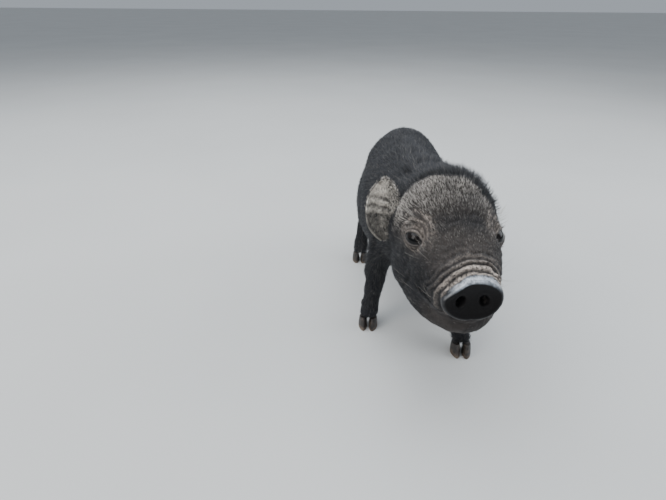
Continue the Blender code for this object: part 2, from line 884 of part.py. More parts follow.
FACES = {"snout": 1260, "head": 1700, "neck": 320, "torso": 820, "leg": 290}


def build():
    leg_plan = legs()
    forms = [trunk(), neck(), muzzle(), jaw(), *skull_forms(), *hips_and_shoulders()]
    forms += [loft(f"{name}_form", plan[1], BODY_FRAME) for name, plan in leg_plan.items()]
    soft = one_skin("soft_body", forms, soften=16)
    body = one_skin("body", [soft, muzzle(), snout_disc(), *face_details()], soften=4)

    # The head and the snout
    face = kept_side(copied(body, "face"), HEAD_CUT[0], HEAD_CUT[1], OVERLAP)
    snout = kept_side(copied(face, "snout_form"), SNOUT_CUT[0], SNOUT_CUT[1], OVERLAP)
    head = kept_side(copied(face, "head_form"), SNOUT_CUT[0], -SNOUT_CUT[1], OVERLAP)
    decimated(snout, FACES["snout"])
    decimated(head, FACES["head"])
    groove = mouth_line(face)
    cut(snout, [nostril(1), nostril(-1), groove])
    cut(head, [groove, *eye_cutters(1), *eye_cutters(-1)])
    largest_body(head)
    kept_side(snout, SNOUT_CUT[0], SNOUT_CUT[1], -GAP / 2)
    kept_side(head, SNOUT_CUT[0], -SNOUT_CUT[1], -GAP / 2)
    kept_side(head, HEAD_CUT[0], HEAD_CUT[1], -GAP / 2)

    # The neck
    neck_part = kept_side(copied(body, "neck_part"), HEAD_CUT[0], -HEAD_CUT[1], OVERLAP)
    kept_side(neck_part, NECK_CUT[0], NECK_CUT[1], OVERLAP)
    decimated(neck_part, FACES["neck"])
    kept_side(neck_part, HEAD_CUT[0], -HEAD_CUT[1], -GAP / 2)
    kept_side(neck_part, NECK_CUT[0], NECK_CUT[1], -GAP / 2)

    # The trunk with its legs, then each leg parted from it
    rest = kept_side(copied(body, "rest"), NECK_CUT[0], -NECK_CUT[1], OVERLAP)
    decimated(rest, FACES["torso"] + 4 * FACES["leg"])
    kept_side(rest, NECK_CUT[0], -NECK_CUT[1], -GAP / 2)
    torso = copied(rest, "torso_form")
    made_legs = {}
    for name, (x, stations, foot) in leg_plan.items():
        leg = copied(rest, f"{name}_part")
        capsule = leg_cutter(f"{name}_capsule", x, stations)
        cut(leg, [capsule], "INTERSECT")
        largest_body(leg)
        cut(torso, [grown(capsule, f"{name}_hollow", GAP)])
        top, lean = coronet(foot)
        kept_side(leg, top, -lean, -GAP / 2)
        made_legs[name] = leg
    largest_body(torso)

    # Ears, eyes, tail and claws
    head_grown = grown(head, "head_grown", GAP)
    neck_grown = grown(neck_part, "neck_grown", GAP)
    for x, side in ((1, "left"), (-1, "right")):
        shell = largest_body(cut(ear(side), [head_grown, neck_grown]))
        node(shell, f"ear_{side}", EAR_SKIN)
        eyeball = ellipsoid(f"eyeball{x}", (0, 0, 0), [EYE_RADIUS / MM] * 3, eye_frame(x), segments=18)
        node(eyeball, f"eye_{side}", EYE)
    torso_grown = grown(torso, "torso_grown", GAP)
    hung = largest_body(cut(tail(), [torso_grown]))
    node(with_locks(hung, tail_brush()), "tail", SKIN)
    locks = mane({"head": head, "neck": neck_part, "torso": torso})
    with_locks(head, locks["head"])
    with_locks(neck_part, locks["neck"])
    with_locks(torso, locks["torso"])
    for name, leg in made_legs.items():
        foot = leg_plan[name][2]
        leg_grown = grown(leg, f"{name}_grown", GAP)
        tree = surface_tree(leg)
        for toe, x in (("outer", leg_plan[name][0]), ("inner", -leg_plan[name][0])):
            node(claw(f"{name}_claw_form", foot, x), f"claw_{name}_{toe}", CLAW)
            small = cut(dewclaw(f"{name}_dew_form", tree, foot, x), [leg_grown])
            node(largest_body(small), f"dewclaw_{name}_{toe}", CLAW)
        node(leg, f"leg_{name}", SKIN)
    node(snout, "snout", SNOUT_SKIN)
    node(head, "head", SKIN)
    node(neck_part, "neck", SKIN)
    node(torso, "torso", SKIN)
    for obj in list(CUTTERS.objects):
        bpy.data.objects.remove(obj)


def stand():
    """Puts every piece on an empty, placed so that the middle of the animal's box stands on the origin."""
    corners = [obj.location + vert.co for obj in PIG.objects for vert in obj.data.vertices]
    low, high = np.min(corners, axis=0), np.max(corners, axis=0)
    holder = bpy.data.objects.new("piglet", None)
    holder.location = (-(low[0] + high[0]) / 2, -(low[1] + high[1]) / 2, -low[2])
    for obj in PIG.objects:
        obj.parent = holder
    PIG.objects.link(holder)


build()
stand()
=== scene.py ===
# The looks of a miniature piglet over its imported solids: one skin with folds and lids, eyes, claws and coat.
# It faces -Y with its left side at +X and stands on z = 0. Sizes are in mm until a mesh takes them in metres.

import math

import bmesh
import bpy
import numpy as np
from mathutils import Matrix, Vector
from mathutils.bvhtree import BVHTree


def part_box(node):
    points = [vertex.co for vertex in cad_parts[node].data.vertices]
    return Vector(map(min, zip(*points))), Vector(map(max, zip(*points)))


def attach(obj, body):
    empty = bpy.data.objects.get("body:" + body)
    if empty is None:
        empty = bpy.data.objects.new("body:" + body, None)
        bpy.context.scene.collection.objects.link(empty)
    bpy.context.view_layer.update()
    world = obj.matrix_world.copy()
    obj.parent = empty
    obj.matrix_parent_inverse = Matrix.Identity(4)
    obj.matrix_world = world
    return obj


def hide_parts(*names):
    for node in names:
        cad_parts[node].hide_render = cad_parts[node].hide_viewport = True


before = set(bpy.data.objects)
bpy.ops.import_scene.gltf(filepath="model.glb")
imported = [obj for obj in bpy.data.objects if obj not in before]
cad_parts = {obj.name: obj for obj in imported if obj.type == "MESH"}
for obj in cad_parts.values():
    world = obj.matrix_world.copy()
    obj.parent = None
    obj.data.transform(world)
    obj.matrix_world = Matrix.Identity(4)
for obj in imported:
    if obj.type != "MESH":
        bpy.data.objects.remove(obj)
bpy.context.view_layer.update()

# The head's frame
# The head turns a little to the animal's left. Its own frame starts at the middle of the snout disc, and is
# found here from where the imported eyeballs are, so that lids, folds and camera all sit on the solids.

MM = 0.001
EYE_PLACE = np.array((21.8, 44.6, 12.8))
EYE_RADIUS = 7.7


def turned(yaw, pitch, roll=0):
    """A turn by those degrees about the upright axis, the cross axis and the long axis."""
    turns = ((yaw, "Z"), (pitch, "X"), (roll, "Y"))
    upright, across, along = (Matrix.Rotation(math.radians(degrees), 3, axis) for degrees, axis in turns)
    return np.array(upright @ across @ along)


HEAD_TURN = turned(yaw=7.4, pitch=2, roll=-1)


def middle(node):
    low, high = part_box(node)
    return (np.array(low) + np.array(high)) / 2


DISC = (middle("eye_left") + middle("eye_right")) / 2 - HEAD_TURN @ (EYE_PLACE * (0, 1, 1)) * MM


def to_head(places):
    """World places as millimetres in the head's frame."""
    return (places - DISC) @ HEAD_TURN / MM


def from_head(places):
    return np.asarray(places, float) * MM @ HEAD_TURN.T + DISC


def eye_turn(x):
    """The axes of the eye on the side x in the head's frame: across, away from where it looks, and up."""
    return turned(yaw=43 * x, pitch=-8, roll=-8 * x)


def head_matrix(place=(0, 0, 0), turn=None):
    """A matrix from millimetres at a place and turn in the head's frame to the world."""
    spin = HEAD_TURN @ (np.eye(3) if turn is None else np.array(turn)) * MM
    return Matrix.Translation(Vector(from_head(place))) @ Matrix(spin.tolist()).to_4x4()


# The skin
# One hide over the whole animal, from the snout to the hocks, with no seam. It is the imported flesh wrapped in
# one surface, drawn in by the depth of the coat, refined over the face, and then folded.

LEGS = [f"leg_{end}_{side}" for end in ("front", "hind") for side in ("left", "right")]
FLESH = ("snout", "head", "neck", "torso", *LEGS)
SKIN_VOXEL = 2.0 * MM
FIRST_VOXEL = 0.8 * SKIN_VOXEL
MERGE_WITHIN = 1e-6
SOCKET_BALL = EYE_RADIUS + 1.0
NOSTRIL_PLUG = np.array((6.4, 5.6, -0.6))
NOSTRIL_PLUG_SIZE = (3.6, 5.5, 4.6)
DISC_WIDE, DISC_HIGH, DISC_DEEP, DISH_DEEP = 16.9, 12.8, 3.0, 1.3
DISC_LEAN = turned(yaw=0, pitch=-8)
DISC_LOW = np.array((0, 0, -1.3))


def read(items, field, width=1, kind=float):
    """One field of all of a mesh's items, in rows where it has more than one number."""
    found = np.empty(len(items) * width, kind)
    items.foreach_get(field, found)
    return found.reshape(-1, width) if width > 1 else found


def places_of(mesh):
    return read(mesh.vertices, "co", 3)


def move_to(mesh, places):
    mesh.vertices.foreach_set("co", places.ravel())
    mesh.update()


def outward(mesh):
    return read(mesh.vertex_normals, "vector", 3)


def as_mesh(bm, name):
    mesh = bpy.data.meshes.new(name)
    bm.to_mesh(mesh)
    bm.free()
    return mesh


def merged(*meshes):
    """The meshes in one bmesh, each point there once."""
    bm = bmesh.new()
    for mesh in meshes:
        bm.from_mesh(mesh)
    bmesh.ops.remove_doubles(bm, verts=bm.verts, dist=MERGE_WITHIN)
    return bm


def link(name, mesh):
    made = bpy.data.objects.new(name, mesh)
    bpy.context.scene.collection.objects.link(made)
    return made


def finished(made):
    """The object's mesh with its modifiers applied, and the object itself removed."""
    bpy.context.view_layer.update()
    mesh = bpy.data.meshes.new_from_object(made.evaluated_get(bpy.context.evaluated_depsgraph_get()))
    bpy.data.objects.remove(made)
    return mesh


def wrapped(mesh, voxel, soften):
    """One closed surface round the mesh, softened."""
    made = link("wrap", mesh)
    wrap = made.modifiers.new("Wrap", "REMESH")
    wrap.mode = "VOXEL"
    wrap.voxel_size = voxel
    smooth = made.modifiers.new("Smooth", "SMOOTH")
    smooth.factor = 0.5
    smooth.iterations = soften
    return finished(made)


def relaxed(mesh, rounds, mask=None, pull=0.5):
    """Evens out the mesh where the mask says, each point moving towards the middle of its neighbours."""
    a, b = read(mesh.edges, "vertices", 2, int).T
    places = places_of(mesh)
    count = len(places)
    share = np.bincount(a, minlength=count) + np.bincount(b, minlength=count)
    amount = pull * (np.ones(count) if mask is None else mask)
    for _ in range(rounds):
        total = [np.bincount(a, places[b, k], count) + np.bincount(b, places[a, k], count) for k in range(3)]
        places += (np.stack(total, axis=1) / share[:, None] - places) * amount[:, None]
    move_to(mesh, places)


def ease(low, high, value):
    """0 below low, 1 above high, and a smooth step between them, for low above high too."""
    t = np.clip((value - low) / (high - low), 0, 1)
    return t * t * (3 - 2 * t)


def bell(value, centre, width):
    return np.exp(-(((value - centre) / width) ** 2))


def waver(places, wave, seed, count=10):
    """A smooth uneven pattern between about -1 and 1 over places in mm, of about that wavelength."""
    draw = np.random.default_rng(seed)
    total = np.zeros(len(places))
    for _ in range(count):
        way = draw.normal(size=3)
        way /= np.linalg.norm(way)
        total += np.sin(places @ way * (2 * math.pi / (wave * draw.uniform(0.7, 1.4))) + draw.uniform(0, 6.3))
    return total / math.sqrt(count * 1.6)


# The middle line of the mane, as the distance behind the disc and the place across. Rays from inside, at
# MANE_ROWS behind the disc and MANE_TURNS from the upright, find the locks: they stand up over the lowest
# HIDE_SHARE per cent of the LOCK_ROWS and LOCK_TURNS on each side.
CREST_LINE = ((50, 90, 115, 139, 171, 187), (-6.4, -11.6, -20, -25, -27, -27))
MANE_ROWS = np.arange(46, 194, 1.0)
MANE_TURNS = np.radians(np.arange(-64, 65, 2.0))
LOCK_ROWS, LOCK_TURNS, HIDE_SHARE = 5, 4, 38


def crest_place(ahead):
    """Where across the animal the mane's middle line lies, by the distance behind the disc."""
    return DISC[0] + np.interp(ahead, *CREST_LINE) * MM


def without_mane(mesh):
    """Lays the stubs of the solids' locks down, as the coat's own bristles take their place."""
    bm = bmesh.new()
    bm.from_mesh(mesh)
    tree = BVHTree.FromBMesh(bm)
    bm.free()
    reach = np.zeros((len(MANE_ROWS), len(MANE_TURNS)))
    for i, row in enumerate(MANE_ROWS):
        start = Vector((crest_place(row), DISC[1] + row * MM, DISC[2]))
        for k, turn in enumerate(MANE_TURNS):
            hit = tree.ray_cast(start, Vector((math.sin(turn), 0, math.cos(turn))))
            reach[i, k] = hit[3] if hit[0] else 0
    wide = np.pad(reach, ((LOCK_ROWS, LOCK_ROWS), (LOCK_TURNS, LOCK_TURNS)), mode="edge")
    layers = [
        wide[i : i + len(MANE_ROWS), k : k + len(MANE_TURNS)]
        for i in range(2 * LOCK_ROWS + 1)
        for k in range(2 * LOCK_TURNS + 1)
    ]
    level = np.percentile(np.stack(layers), HIDE_SHARE, axis=0)
    places = places_of(mesh)
    ahead = (places[:, 1] - DISC[1]) / MM
    side = places[:, 0] - crest_place(ahead)
    up = places[:, 2] - DISC[2]
    far, turn = np.hypot(side, up), np.arctan2(side, up)
    turn_step = MANE_TURNS[1] - MANE_TURNS[0]
    i = np.clip(np.round(ahead - MANE_ROWS[0]).astype(int), 0, len(MANE_ROWS) - 1)
    k = np.clip(np.round((turn - MANE_TURNS[0]) / turn_step).astype(int), 0, len(MANE_TURNS) - 1)
    within = (ahead > MANE_ROWS[0]) & (ahead < MANE_ROWS[-1]) & (np.abs(turn) < MANE_TURNS[-1]) & (up > 0)
    held = np.where(within, np.minimum(far, level[i, k]), far)
    shrink = held / np.maximum(far, 1e-9)
    places[:, 0] = crest_place(ahead) + side * shrink
    places[:, 2] = DISC[2] + up * shrink
    move_to(mesh, places)


def coat_depth(places):
    """How deep the skin lies under the solids' surface, which is at the tips of the short coat, in mm."""
    head = to_head(places)
    depth = 1.9 - 1.3 * ease(84, 62, head[:, 1]) - 0.5 * ease(36, 24, head[:, 1])
    low = ease(60, 30, places[:, 2] / MM)
    return np.where(head[:, 1] > 84, depth - 1.0 * low, depth)


def refined(mesh, chosen):
    """Splits into four each the faces whose middles, in the head's frame, are chosen."""
    bm = bmesh.new()
    bm.from_mesh(mesh)
    picked = chosen(to_head(np.array([face.calc_center_median() for face in bm.faces])))
    edges = {edge for face, yes in zip(bm.faces, picked) if yes for edge in face.edges}
    bmesh.ops.subdivide_edges(bm, edges=list(edges), cuts=1, use_grid_fill=True)
    bm.to_mesh(mesh)
    bm.free()


def eye_places(head, x):
    """Places of the head's frame in the frame of the eye on the side x."""
    return (head - EYE_PLACE * (x, 1, 1)) @ eye_turn(x)


def from_eye(head):
    """How far places of the head's frame are from the middle of the nearer eye."""
    return np.minimum(*(np.linalg.norm(eye_places(head, x), axis=1) for x in (1, -1)))


body = merged(*(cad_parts[name].data for name in FLESH))
for x in (1, -1):
    ball = head_matrix(EYE_PLACE * (x, 1, 1)) @ Matrix.Scale(SOCKET_BALL, 4)
    bmesh.ops.create_uvsphere(body, u_segments=24, v_segments=12, radius=1, matrix=ball)
    plug = head_matrix(DISC_LOW + DISC_LEAN @ (NOSTRIL_PLUG * (x, 1, 1)), DISC_LEAN)
    plug = plug @ Matrix.Diagonal((*NOSTRIL_PLUG_SIZE, 1))
    bmesh.ops.create_uvsphere(body, u_segments=16, v_segments=8, radius=1, matrix=plug)
hide = wrapped(as_mesh(body, "flesh"), FIRST_VOXEL, 0)
without_mane(hide)
hide = wrapped(hide, SKIN_VOXEL, 5)
outer = places_of(hide)
move_to(hide, outer - outward(hide) * coat_depth(outer)[:, None] * MM)
relaxed(hide, 2)

# The faces are split once over the head, twice over the muzzle and round the eyes, and three times at the lids
HEAD_END, MUZZLE_END, EYE_ZONE, LID_ZONE, LOWER_LIDS = 86, 29, 13.8, 10.0, 2
refined(hide, lambda head: head[:, 1] < HEAD_END)
relaxed(hide, 2, ease(HEAD_END + 2, HEAD_END - 2, to_head(places_of(hide))[:, 1]))
refined(hide, lambda head: (head[:, 1] < MUZZLE_END) | (from_eye(head) < EYE_ZONE))
shaped = to_head(places_of(hide))
relaxed(hide, 3, 1.0 * ((shaped[:, 1] < MUZZLE_END + 1) | (from_eye(shaped) < EYE_ZONE + 1)))
refined(hide, lambda head: (from_eye(head) < LID_ZONE) & (head[:, 2] > LOWER_LIDS))
relaxed(hide, 2, 1.0 * (from_eye(to_head(places_of(hide))) < LID_ZONE + 1))

# How far a nostril lies from the middle of the disc, its lean outwards, its half sizes and its depth
NOSTRIL_OUT, NOSTRIL_UP, NOSTRIL_LEAN = 6.4, -0.8, math.radians(18)
NOSTRIL_HALF_WIDE, NOSTRIL_HALF_HIGH, NOSTRIL_DEEP = 2.6, 3.6, 6.2


def in_disc(head):
    """Places of the head's frame in the frame of the disc, whose face looks along -Y."""
    return (head - DISC_LOW) @ DISC_LEAN


def disc_spread(at):
    """How far out places lie on the face of the disc, 1 at its rim: an oval drawn out at its right end."""
    x, low = at[:, 0], at[:, 2] - 0.05 * at[:, 0]
    corner = 1.8 + 0.4 * ease(-8, 6, x) - 0.5 * ease(1, -7, x) * ease(-1, 4, low)
    return ((np.abs(x) / DISC_WIDE) ** corner + (np.abs(low) / DISC_HIGH) ** corner) ** (1 / corner), low


def disc_formed(places):
    """Draws the blunt end of the snout out to a disc with a broad round rim, a shallow dish and nostrils."""
    at = in_disc(places)
    x, y, z = at.T
    spread, low = disc_spread(at)
    radius = np.hypot(x, low) / np.maximum(spread, 1e-6)
    rounding = 1.5 + 2.5 * ease(-3, 8, low)
    out = (spread - 1) * radius + rounding
    away = rounding - y
    gap = np.minimum(np.maximum(out, away), 0) + np.hypot(np.maximum(out, 0), np.maximum(away, 0)) - rounding
    rim = np.stack([x / DISC_WIDE**2, np.zeros(len(x)), low / DISC_HIGH**2], axis=1)
    rim /= np.maximum(np.linalg.norm(rim, axis=1), 1e-9)[:, None]
    front = np.array((0, -1, 0)) * np.ones((len(x), 1))
    lean = ease(-1.2, 1.2, out - away)[:, None]
    way = rim * lean + front * (1 - lean)
    way /= np.linalg.norm(way, axis=1)[:, None]
    weight = ease(DISC_DEEP + 1.4, DISC_DEEP, y) * ease(6.5, 4.0, np.abs(gap))
    at = at - way * (np.clip(gap, -2.8, 2.8) * weight)[:, None]
    x, y, z = at.T
    facing = ease(3.4, 1.6, y) * ease(1.1, 0.85, spread)
    dish = DISH_DEEP * (1 - np.clip(spread, 0, 1) ** 2) - 0.3 * bell(spread, 0.86, 0.1)
    at[:, 1] += dish * facing
    for side in (1, -1):
        off_x, off_z = x - NOSTRIL_OUT * side, z - NOSTRIL_UP
        across = off_x * math.cos(NOSTRIL_LEAN * side) + off_z * math.sin(NOSTRIL_LEAN * side)
        up = off_z * math.cos(NOSTRIL_LEAN * side) - off_x * math.sin(NOSTRIL_LEAN * side)
        round_hole = np.hypot(across / NOSTRIL_HALF_WIDE, up / NOSTRIL_HALF_HIGH)
        pit = NOSTRIL_DEEP * ease(1.1, 0.45, round_hole) - 0.3 * bell(round_hole, 1.4, 0.3)
        at[:, 1] += pit * facing
        at[:, 0] += 1.5 * side * ease(1.0, 0.3, round_hole) * facing
    at[:, 1] += 0.4 * bell(x, 0, 0.9) * ease(-2, -7, z) * facing
    return at @ DISC_LEAN.T + DISC_LOW


# The almond opening between the lids: how far its middle is lifted, its reach and taper to the inner and outer
# corner, its half height above and below, and the lids' edge and thickness. A wrinkle round it has its distance
# from the opening, its width, and its height, which is negative in a crease.
OPENING_LIFT = 1.0
REACH_INNER, REACH_OUTER, TAPER_INNER, TAPER_OUTER = 7.9, 7.4, 1.4, 0.7
HALF_ABOVE, HALF_BELOW = 4.7, 2.0
LID_EDGE, LID_THICK, SOCKET_DEEP = 0.9, 0.6, 1.9
WRINKLES = (
    (2.2, 0.5, 0.5),
    (1.4, 0.35, -0.3),
    (3.0, 0.35, -0.6),
    (3.9, 0.6, 0.8),
    (5.3, 0.6, -1.6),
    (7.3, 1.2, 1.6),
    (9.6, 0.7, -0.9),
)


def opening_gap(at, x):
    """How far places of an eye's own frame are outside its almond opening, negative inside, in mm."""
    far = np.linalg.norm(at, axis=1)
    way = at / np.maximum(far, 1e-6)[:, None]
    edge = EYE_RADIUS + LID_EDGE
    inner, up = -x * way[:, 0] * edge, way[:, 2] * edge - OPENING_LIFT
    reach = np.where(inner > 0, REACH_INNER, REACH_OUTER)
    along = np.clip(np.abs(inner) / reach, 0, 1)
    taper = (1 - along**2) ** np.where(inner > 0, TAPER_INNER, TAPER_OUTER)
    half = np.where(up > 0, HALF_ABOVE, HALF_BELOW) * taper
    past = np.hypot(np.maximum(np.abs(inner) - reach, 0), np.maximum(np.abs(up) - half, 0))
    beyond = np.maximum(far - EYE_RADIUS - 2.2, 0)
    gap = np.where(past + beyond > 0, np.hypot(past, beyond), -np.minimum(half - np.abs(up), 3))
    return gap, inner, up, way, far


def lid_creases(gap, inner, up):
    """The wrinkles round an eye, negative in the creases and positive on the folds between them."""
    bent = gap + 0.5 * np.sin(inner * 0.5 + 1) * ease(2, 6, gap)
    folds = sum(height * bell(bent, place, width) for place, width, height in WRINKLES)
    folds += 0.22 * np.sin(2.4 * inner + 1.3 * up) * bell(gap, 2.6, 1.2)
    aside = (1 - ease(2.5, 6, up)) * ease(3.6, 5, gap) * np.where(inner > 0, 0.95, 0.5)
    return folds * (1 - aside) * np.where(up > 0, 1.0, 0.6 * ease(9, 5, gap))


def lids_formed(places, x):
    """The lids on the side x: an almond opening with a rounded edge, and wrinkles over and under it."""
    at = eye_places(places, x)
    gap, inner, up, way, far = opening_gap(at, x)
    front = ease(0.05, 0.35, -way[:, 1])
    lid = EYE_RADIUS + 0.1 + LID_THICK * ease(0.0, 0.6, gap) + 0.1 * bell(gap, LID_EDGE, 0.5)
    socket = EYE_RADIUS - SOCKET_DEEP + 2.0 * ease(-1.0, 0.0, gap)
    form = np.where(gap > 0, lid, socket)
    target = form + (far - form) * ease(1.2, 6.5, gap) + lid_creases(gap, inner, up)
    moved = far + (target - far) * front * ease(17, 13, far)
    return at * (moved / np.maximum(far, 1e-6))[:, None] @ eye_turn(x).T + EYE_PLACE * (x, 1, 1)


# The creases between the folds over the muzzle, by their distance over the skin from the disc, with the height
# of the folds there, and how pale each fold is
CREASES = (3.4, 6.4, 12.1, 17.5, 22.5, 29.0)
FOLD_HEIGHT = (0.7, 1.0, 1.1, 0.7, 0.45, 0.3)
FOLD_DUST = (1.0, 1.0, 0.34, 0.2, 0.08, 0.0)


def muzzle_folds(places):
    """The loose folds over the muzzle: the height at each place, the zone of the folds, and how pale it is."""
    x, z = places[:, 0], places[:, 2]
    at = in_disc(places)
    behind = at[:, 1]
    spread, low = disc_spread(at)
    rise = np.maximum((1 - 1 / np.maximum(spread, 0.5)) * np.hypot(at[:, 0], low), 0)
    behind = behind + 0.9 * rise
    side = ease(6, -8, z)
    bend = (1.1 * waver(places, 13, 3) + 0.4 * waver(places, 5.5, 4)) * ease(3.5, 9, behind)
    reach = (behind + bend) / (1 + 0.42 * side * ease(4, 9, behind))
    fold = np.interp(reach, CREASES, range(len(CREASES)), left=-0.5)
    ridge = (0.5 - 0.5 * np.cos(2 * math.pi * fold)) ** 0.6
    zone = ease(3.0, 3.7, behind) * ease(31, 23, reach) * ease(-17, -7, z) * ease(8.5, 11, np.hypot(x, z))
    split = np.clip(0.9 + 0.35 * waver(places, 7, 5), 0.3, 1.3)
    size = np.interp(reach, CREASES, FOLD_HEIGHT)
    pale = np.interp(fold, np.arange(len(CREASES)) + 0.3, FOLD_DUST, right=0) * (1 - 0.55 * ease(4, -8, z))
    pale *= 0.4 + 0.6 * ease(-15, -7, x) + 0.6 * bell(x, -14, 2.5) * bell(z, 5, 3)
    return ridge * zone * split * size, zone, pale * zone * ridge**1.5


def mouth_line(y):
    """The height of the line between the lips, by the distance behind the disc."""
    return -13.8 + 4.2 * (np.clip(y - 3, 0, 40) / 33) ** 1.7


def lips_formed(places):
    """The line of the mouth, with the soft edges of the lips above and below it."""
    y = places[:, 1]
    off = places[:, 2] - mouth_line(y)
    zone = ease(37, 31, y)
    return (-1.9 * bell(off, 0, 0.75) + 0.55 * bell(off, 2.4, 1.3) + 0.7 * bell(off, -2.3, 1.3)) * zone


def face_folds(places):
    """Creases at the corner of the mouth, under the eyes, across the bridge and behind the cheeks."""
    x, y, z = places.T
    side = np.abs(x)
    behind_cheek = y + 0.35 * (z + 10)
    cheek = (0.5 * bell(behind_cheek, 38.5, 1.6) - 0.7 * bell(behind_cheek, 36, 1.0)) * ease(-22, -16, z)
    cheek *= ease(0, -6, z)
    under = -0.5 * bell(z + 0.25 * (y - 30), 1.5, 0.8) * ease(24, 30, y) * ease(44, 38, y) * ease(12, 16, side)
    bridge = -0.45 * bell(y + 0.5 * waver(places, 12, 8), 33.5, 0.9) * ease(18, 11, side) * ease(6, 12, z)
    bridge += -0.35 * bell(y + 0.5 * waver(places, 10, 9), 38.0, 0.9) * ease(15, 9, side) * ease(6, 12, z)
    brow = -0.4 * bell(z - 0.25 * (side - 12), 25.5, 0.9) * ease(26, 32, y) * ease(60, 50, y) * ease(5, 9, side)
    return cheek + under + bridge + brow


NECK_CREASES = ((95, 1.0), (103, 0.8), (112, 0.9))


def body_folds(places):
    """Soft folds of the throat and neck, the creases of elbow and flank, and the low relief of muscle."""
    x, y, z = places.T
    total = 0.9 * waver(places * (1, 0.7, 1), 46, 21) + 0.35 * waver(places, 17, 22)
    for back, depth in NECK_CREASES:
        wave = 2.5 * np.sin(x * 0.09 + back) + 1.5 * waver(places, 30, back)
        total -= depth * bell(y + wave + 0.35 * z, back, 1.7) * ease(20, -10, z)
        total += 0.6 * depth * bell(y + wave + 0.35 * z, back + 4.2, 2.8) * ease(20, -10, z)
    return total * ease(76, 92, y)


CLAW_LINE = (9.2, 14)
shaped = to_head(places_of(hide))
ahead_of_neck = ease(90, 60, shaped[:, 1])
shaped = disc_formed(shaped)
for x in (1, -1):
    shaped = lids_formed(shaped, x)
move_to(hide, from_head(shaped))
ways = outward(hide) @ HEAD_TURN
ridges, ridge_zone, _ = muzzle_folds(shaped)
lumps = (0.16 * waver(shaped, 1.9, 33) + 0.22 * waver(shaped, 3.4, 34)) * ridge_zone
folds = 1.5 * ridges - 0.6 * ridge_zone + lumps + lips_formed(shaped) + face_folds(shaped) + body_folds(shaped)
folds += 0.12 * waver(shaped, 3.2, 31) * ahead_of_neck + 0.16 * waver(shaped, 7, 32)
folds *= ease(EYE_RADIUS + 0.6, EYE_RADIUS + 3.0, from_eye(shaped))
disc_face = ease(3.6, 2.8, in_disc(shaped)[:, 1])
folds *= 1 - disc_face * ease(-15, -13, shaped[:, 2])
folds *= ease(*CLAW_LINE, from_head(shaped)[:, 2] / MM)
shaped += ways * folds[:, None]
move_to(hide, from_head(shaped))
relaxed(hide, 1, pull=0.25)

# Ears
# Thin upright cups of cartilage in bare skin, open to the front and outside, with ridges inside the cup. Each
# is one grid rolled up at its root, given its thickness, and fused to the hide. EARS gives each ear's root, its
# tip, and which way it opens.

EARS = {
    "right": ((-34.5, 81, -7), (-37, 88, 31.5), (-0.46, -0.87, 0.12)),
    "left": ((33.2, 86, -9), (29.4, 102, 24), (0.78, -0.58, 0.2)),
}
EAR_HALF_WIDTH = 12.8
EAR_THICK, EAR_EDGE = 1.7, 0.8
EAR_ROOT_BEND, EAR_TIP_LEAN = 3.0, 4.5
EAR_ROLL = math.radians(84)


def ear_axes(side):
    """The root of an ear in the head's frame, its length, and its axes: across, to its back and to its tip."""
    root, tip, opening = (Vector(value) for value in EARS[side])
    up = (tip - root).normalized()
    back = -(opening - opening.dot(up) * up).normalized()
    return root, (tip - root).length, np.array((back.cross(up), back, up)).T


def cup_ridges(to_face, up, long):
    """The folds of cartilage across the upper cup, by the distance towards the face and up from the root."""
    wave = np.cos(2 * math.pi * (0.165 * up + 0.05 * to_face))
    return wave * ease(0.35, 0.5, up / long) * ease(5, 1, to_face)


def ear_sheet(side):
    root, long, axes = ear_axes(side)
    face_side = -1 if side == "left" else 1
    inward = Vector(axes.T @ (face_side, 0, 0))
    bm = bmesh.new()
    bmesh.ops.create_grid(bm, x_segments=26, y_segments=34, size=1)
    for vert in bm.verts:
        u, t = vert.co.x, (vert.co.y + 1) / 2
        half = EAR_HALF_WIDTH * math.sin(math.pi * (0.1 + 0.66 * t)) ** 0.85
        half *= 1 + 0.6 * max(-u * face_side, 0) * (1 - t) ** 3
        half = max(half * max(1 - t**8, 0) ** 0.5, 1.4)
        roll = EAR_ROLL * (1 - 0.66 * t)
        bend = half / roll
        fade = math.sin(math.pi * min(t * 1.1, 1)) * (1 - abs(u)) ** 0.4
        ridge = cup_ridges(bend * math.sin(roll * u) * face_side, long * t, long) * fade
        ridge += 0.4 * math.cos(u * math.pi * 3.2 + 4.2 * t) * fade
        curl = 1.1 * max(abs(u) - 0.78, 0) / 0.22 * math.sin(math.pi * min(t + 0.1, 1))
        vert.co = (
            bend * math.sin(roll * u),
            -bend * (1 - math.cos(roll * u)) - ridge - curl + EAR_TIP_LEAN * t * t,
            long * t + 1.5 * (1 - u * u) * t,
        )
        vert.co += inward * EAR_ROOT_BEND * max(1 - t / 0.35, 0) ** 2
    bmesh.ops.recalc_face_normals(bm, faces=bm.faces)
    bm.transform(head_matrix(root, axes))
    made = link("ear", as_mesh(bm, "ear"))
    wall = made.modifiers.new("Wall", "SOLIDIFY")
    wall.thickness = EAR_THICK * MM
    wall.offset = 0
    soft = made.modifiers.new("Soft", "BEVEL")
    soft.width = EAR_EDGE * MM
    soft.segments = 4
    soft.limit_method = "ANGLE"
    soft.angle_limit = math.radians(60)
    return finished(made)


# Tail
# A thin straight tail that hangs from the rump, with a brush of bristles near its end. Its middle line is given
# from the snout disc, in mm, with the radius of the bare tail at each place.

TAIL = (
    (-27, 249, 16.5, 3.9),
    (-26.5, 262, 12.5, 3.2),
    (-25, 270, 2.5, 2.6),
    (-23, 273, -11.5, 2.1),
    (-22, 273, -25.5, 1.6),
    (-22, 272, -38.5, 1.0),
    (-22.5, 271.5, -43.5, 0.6),
)


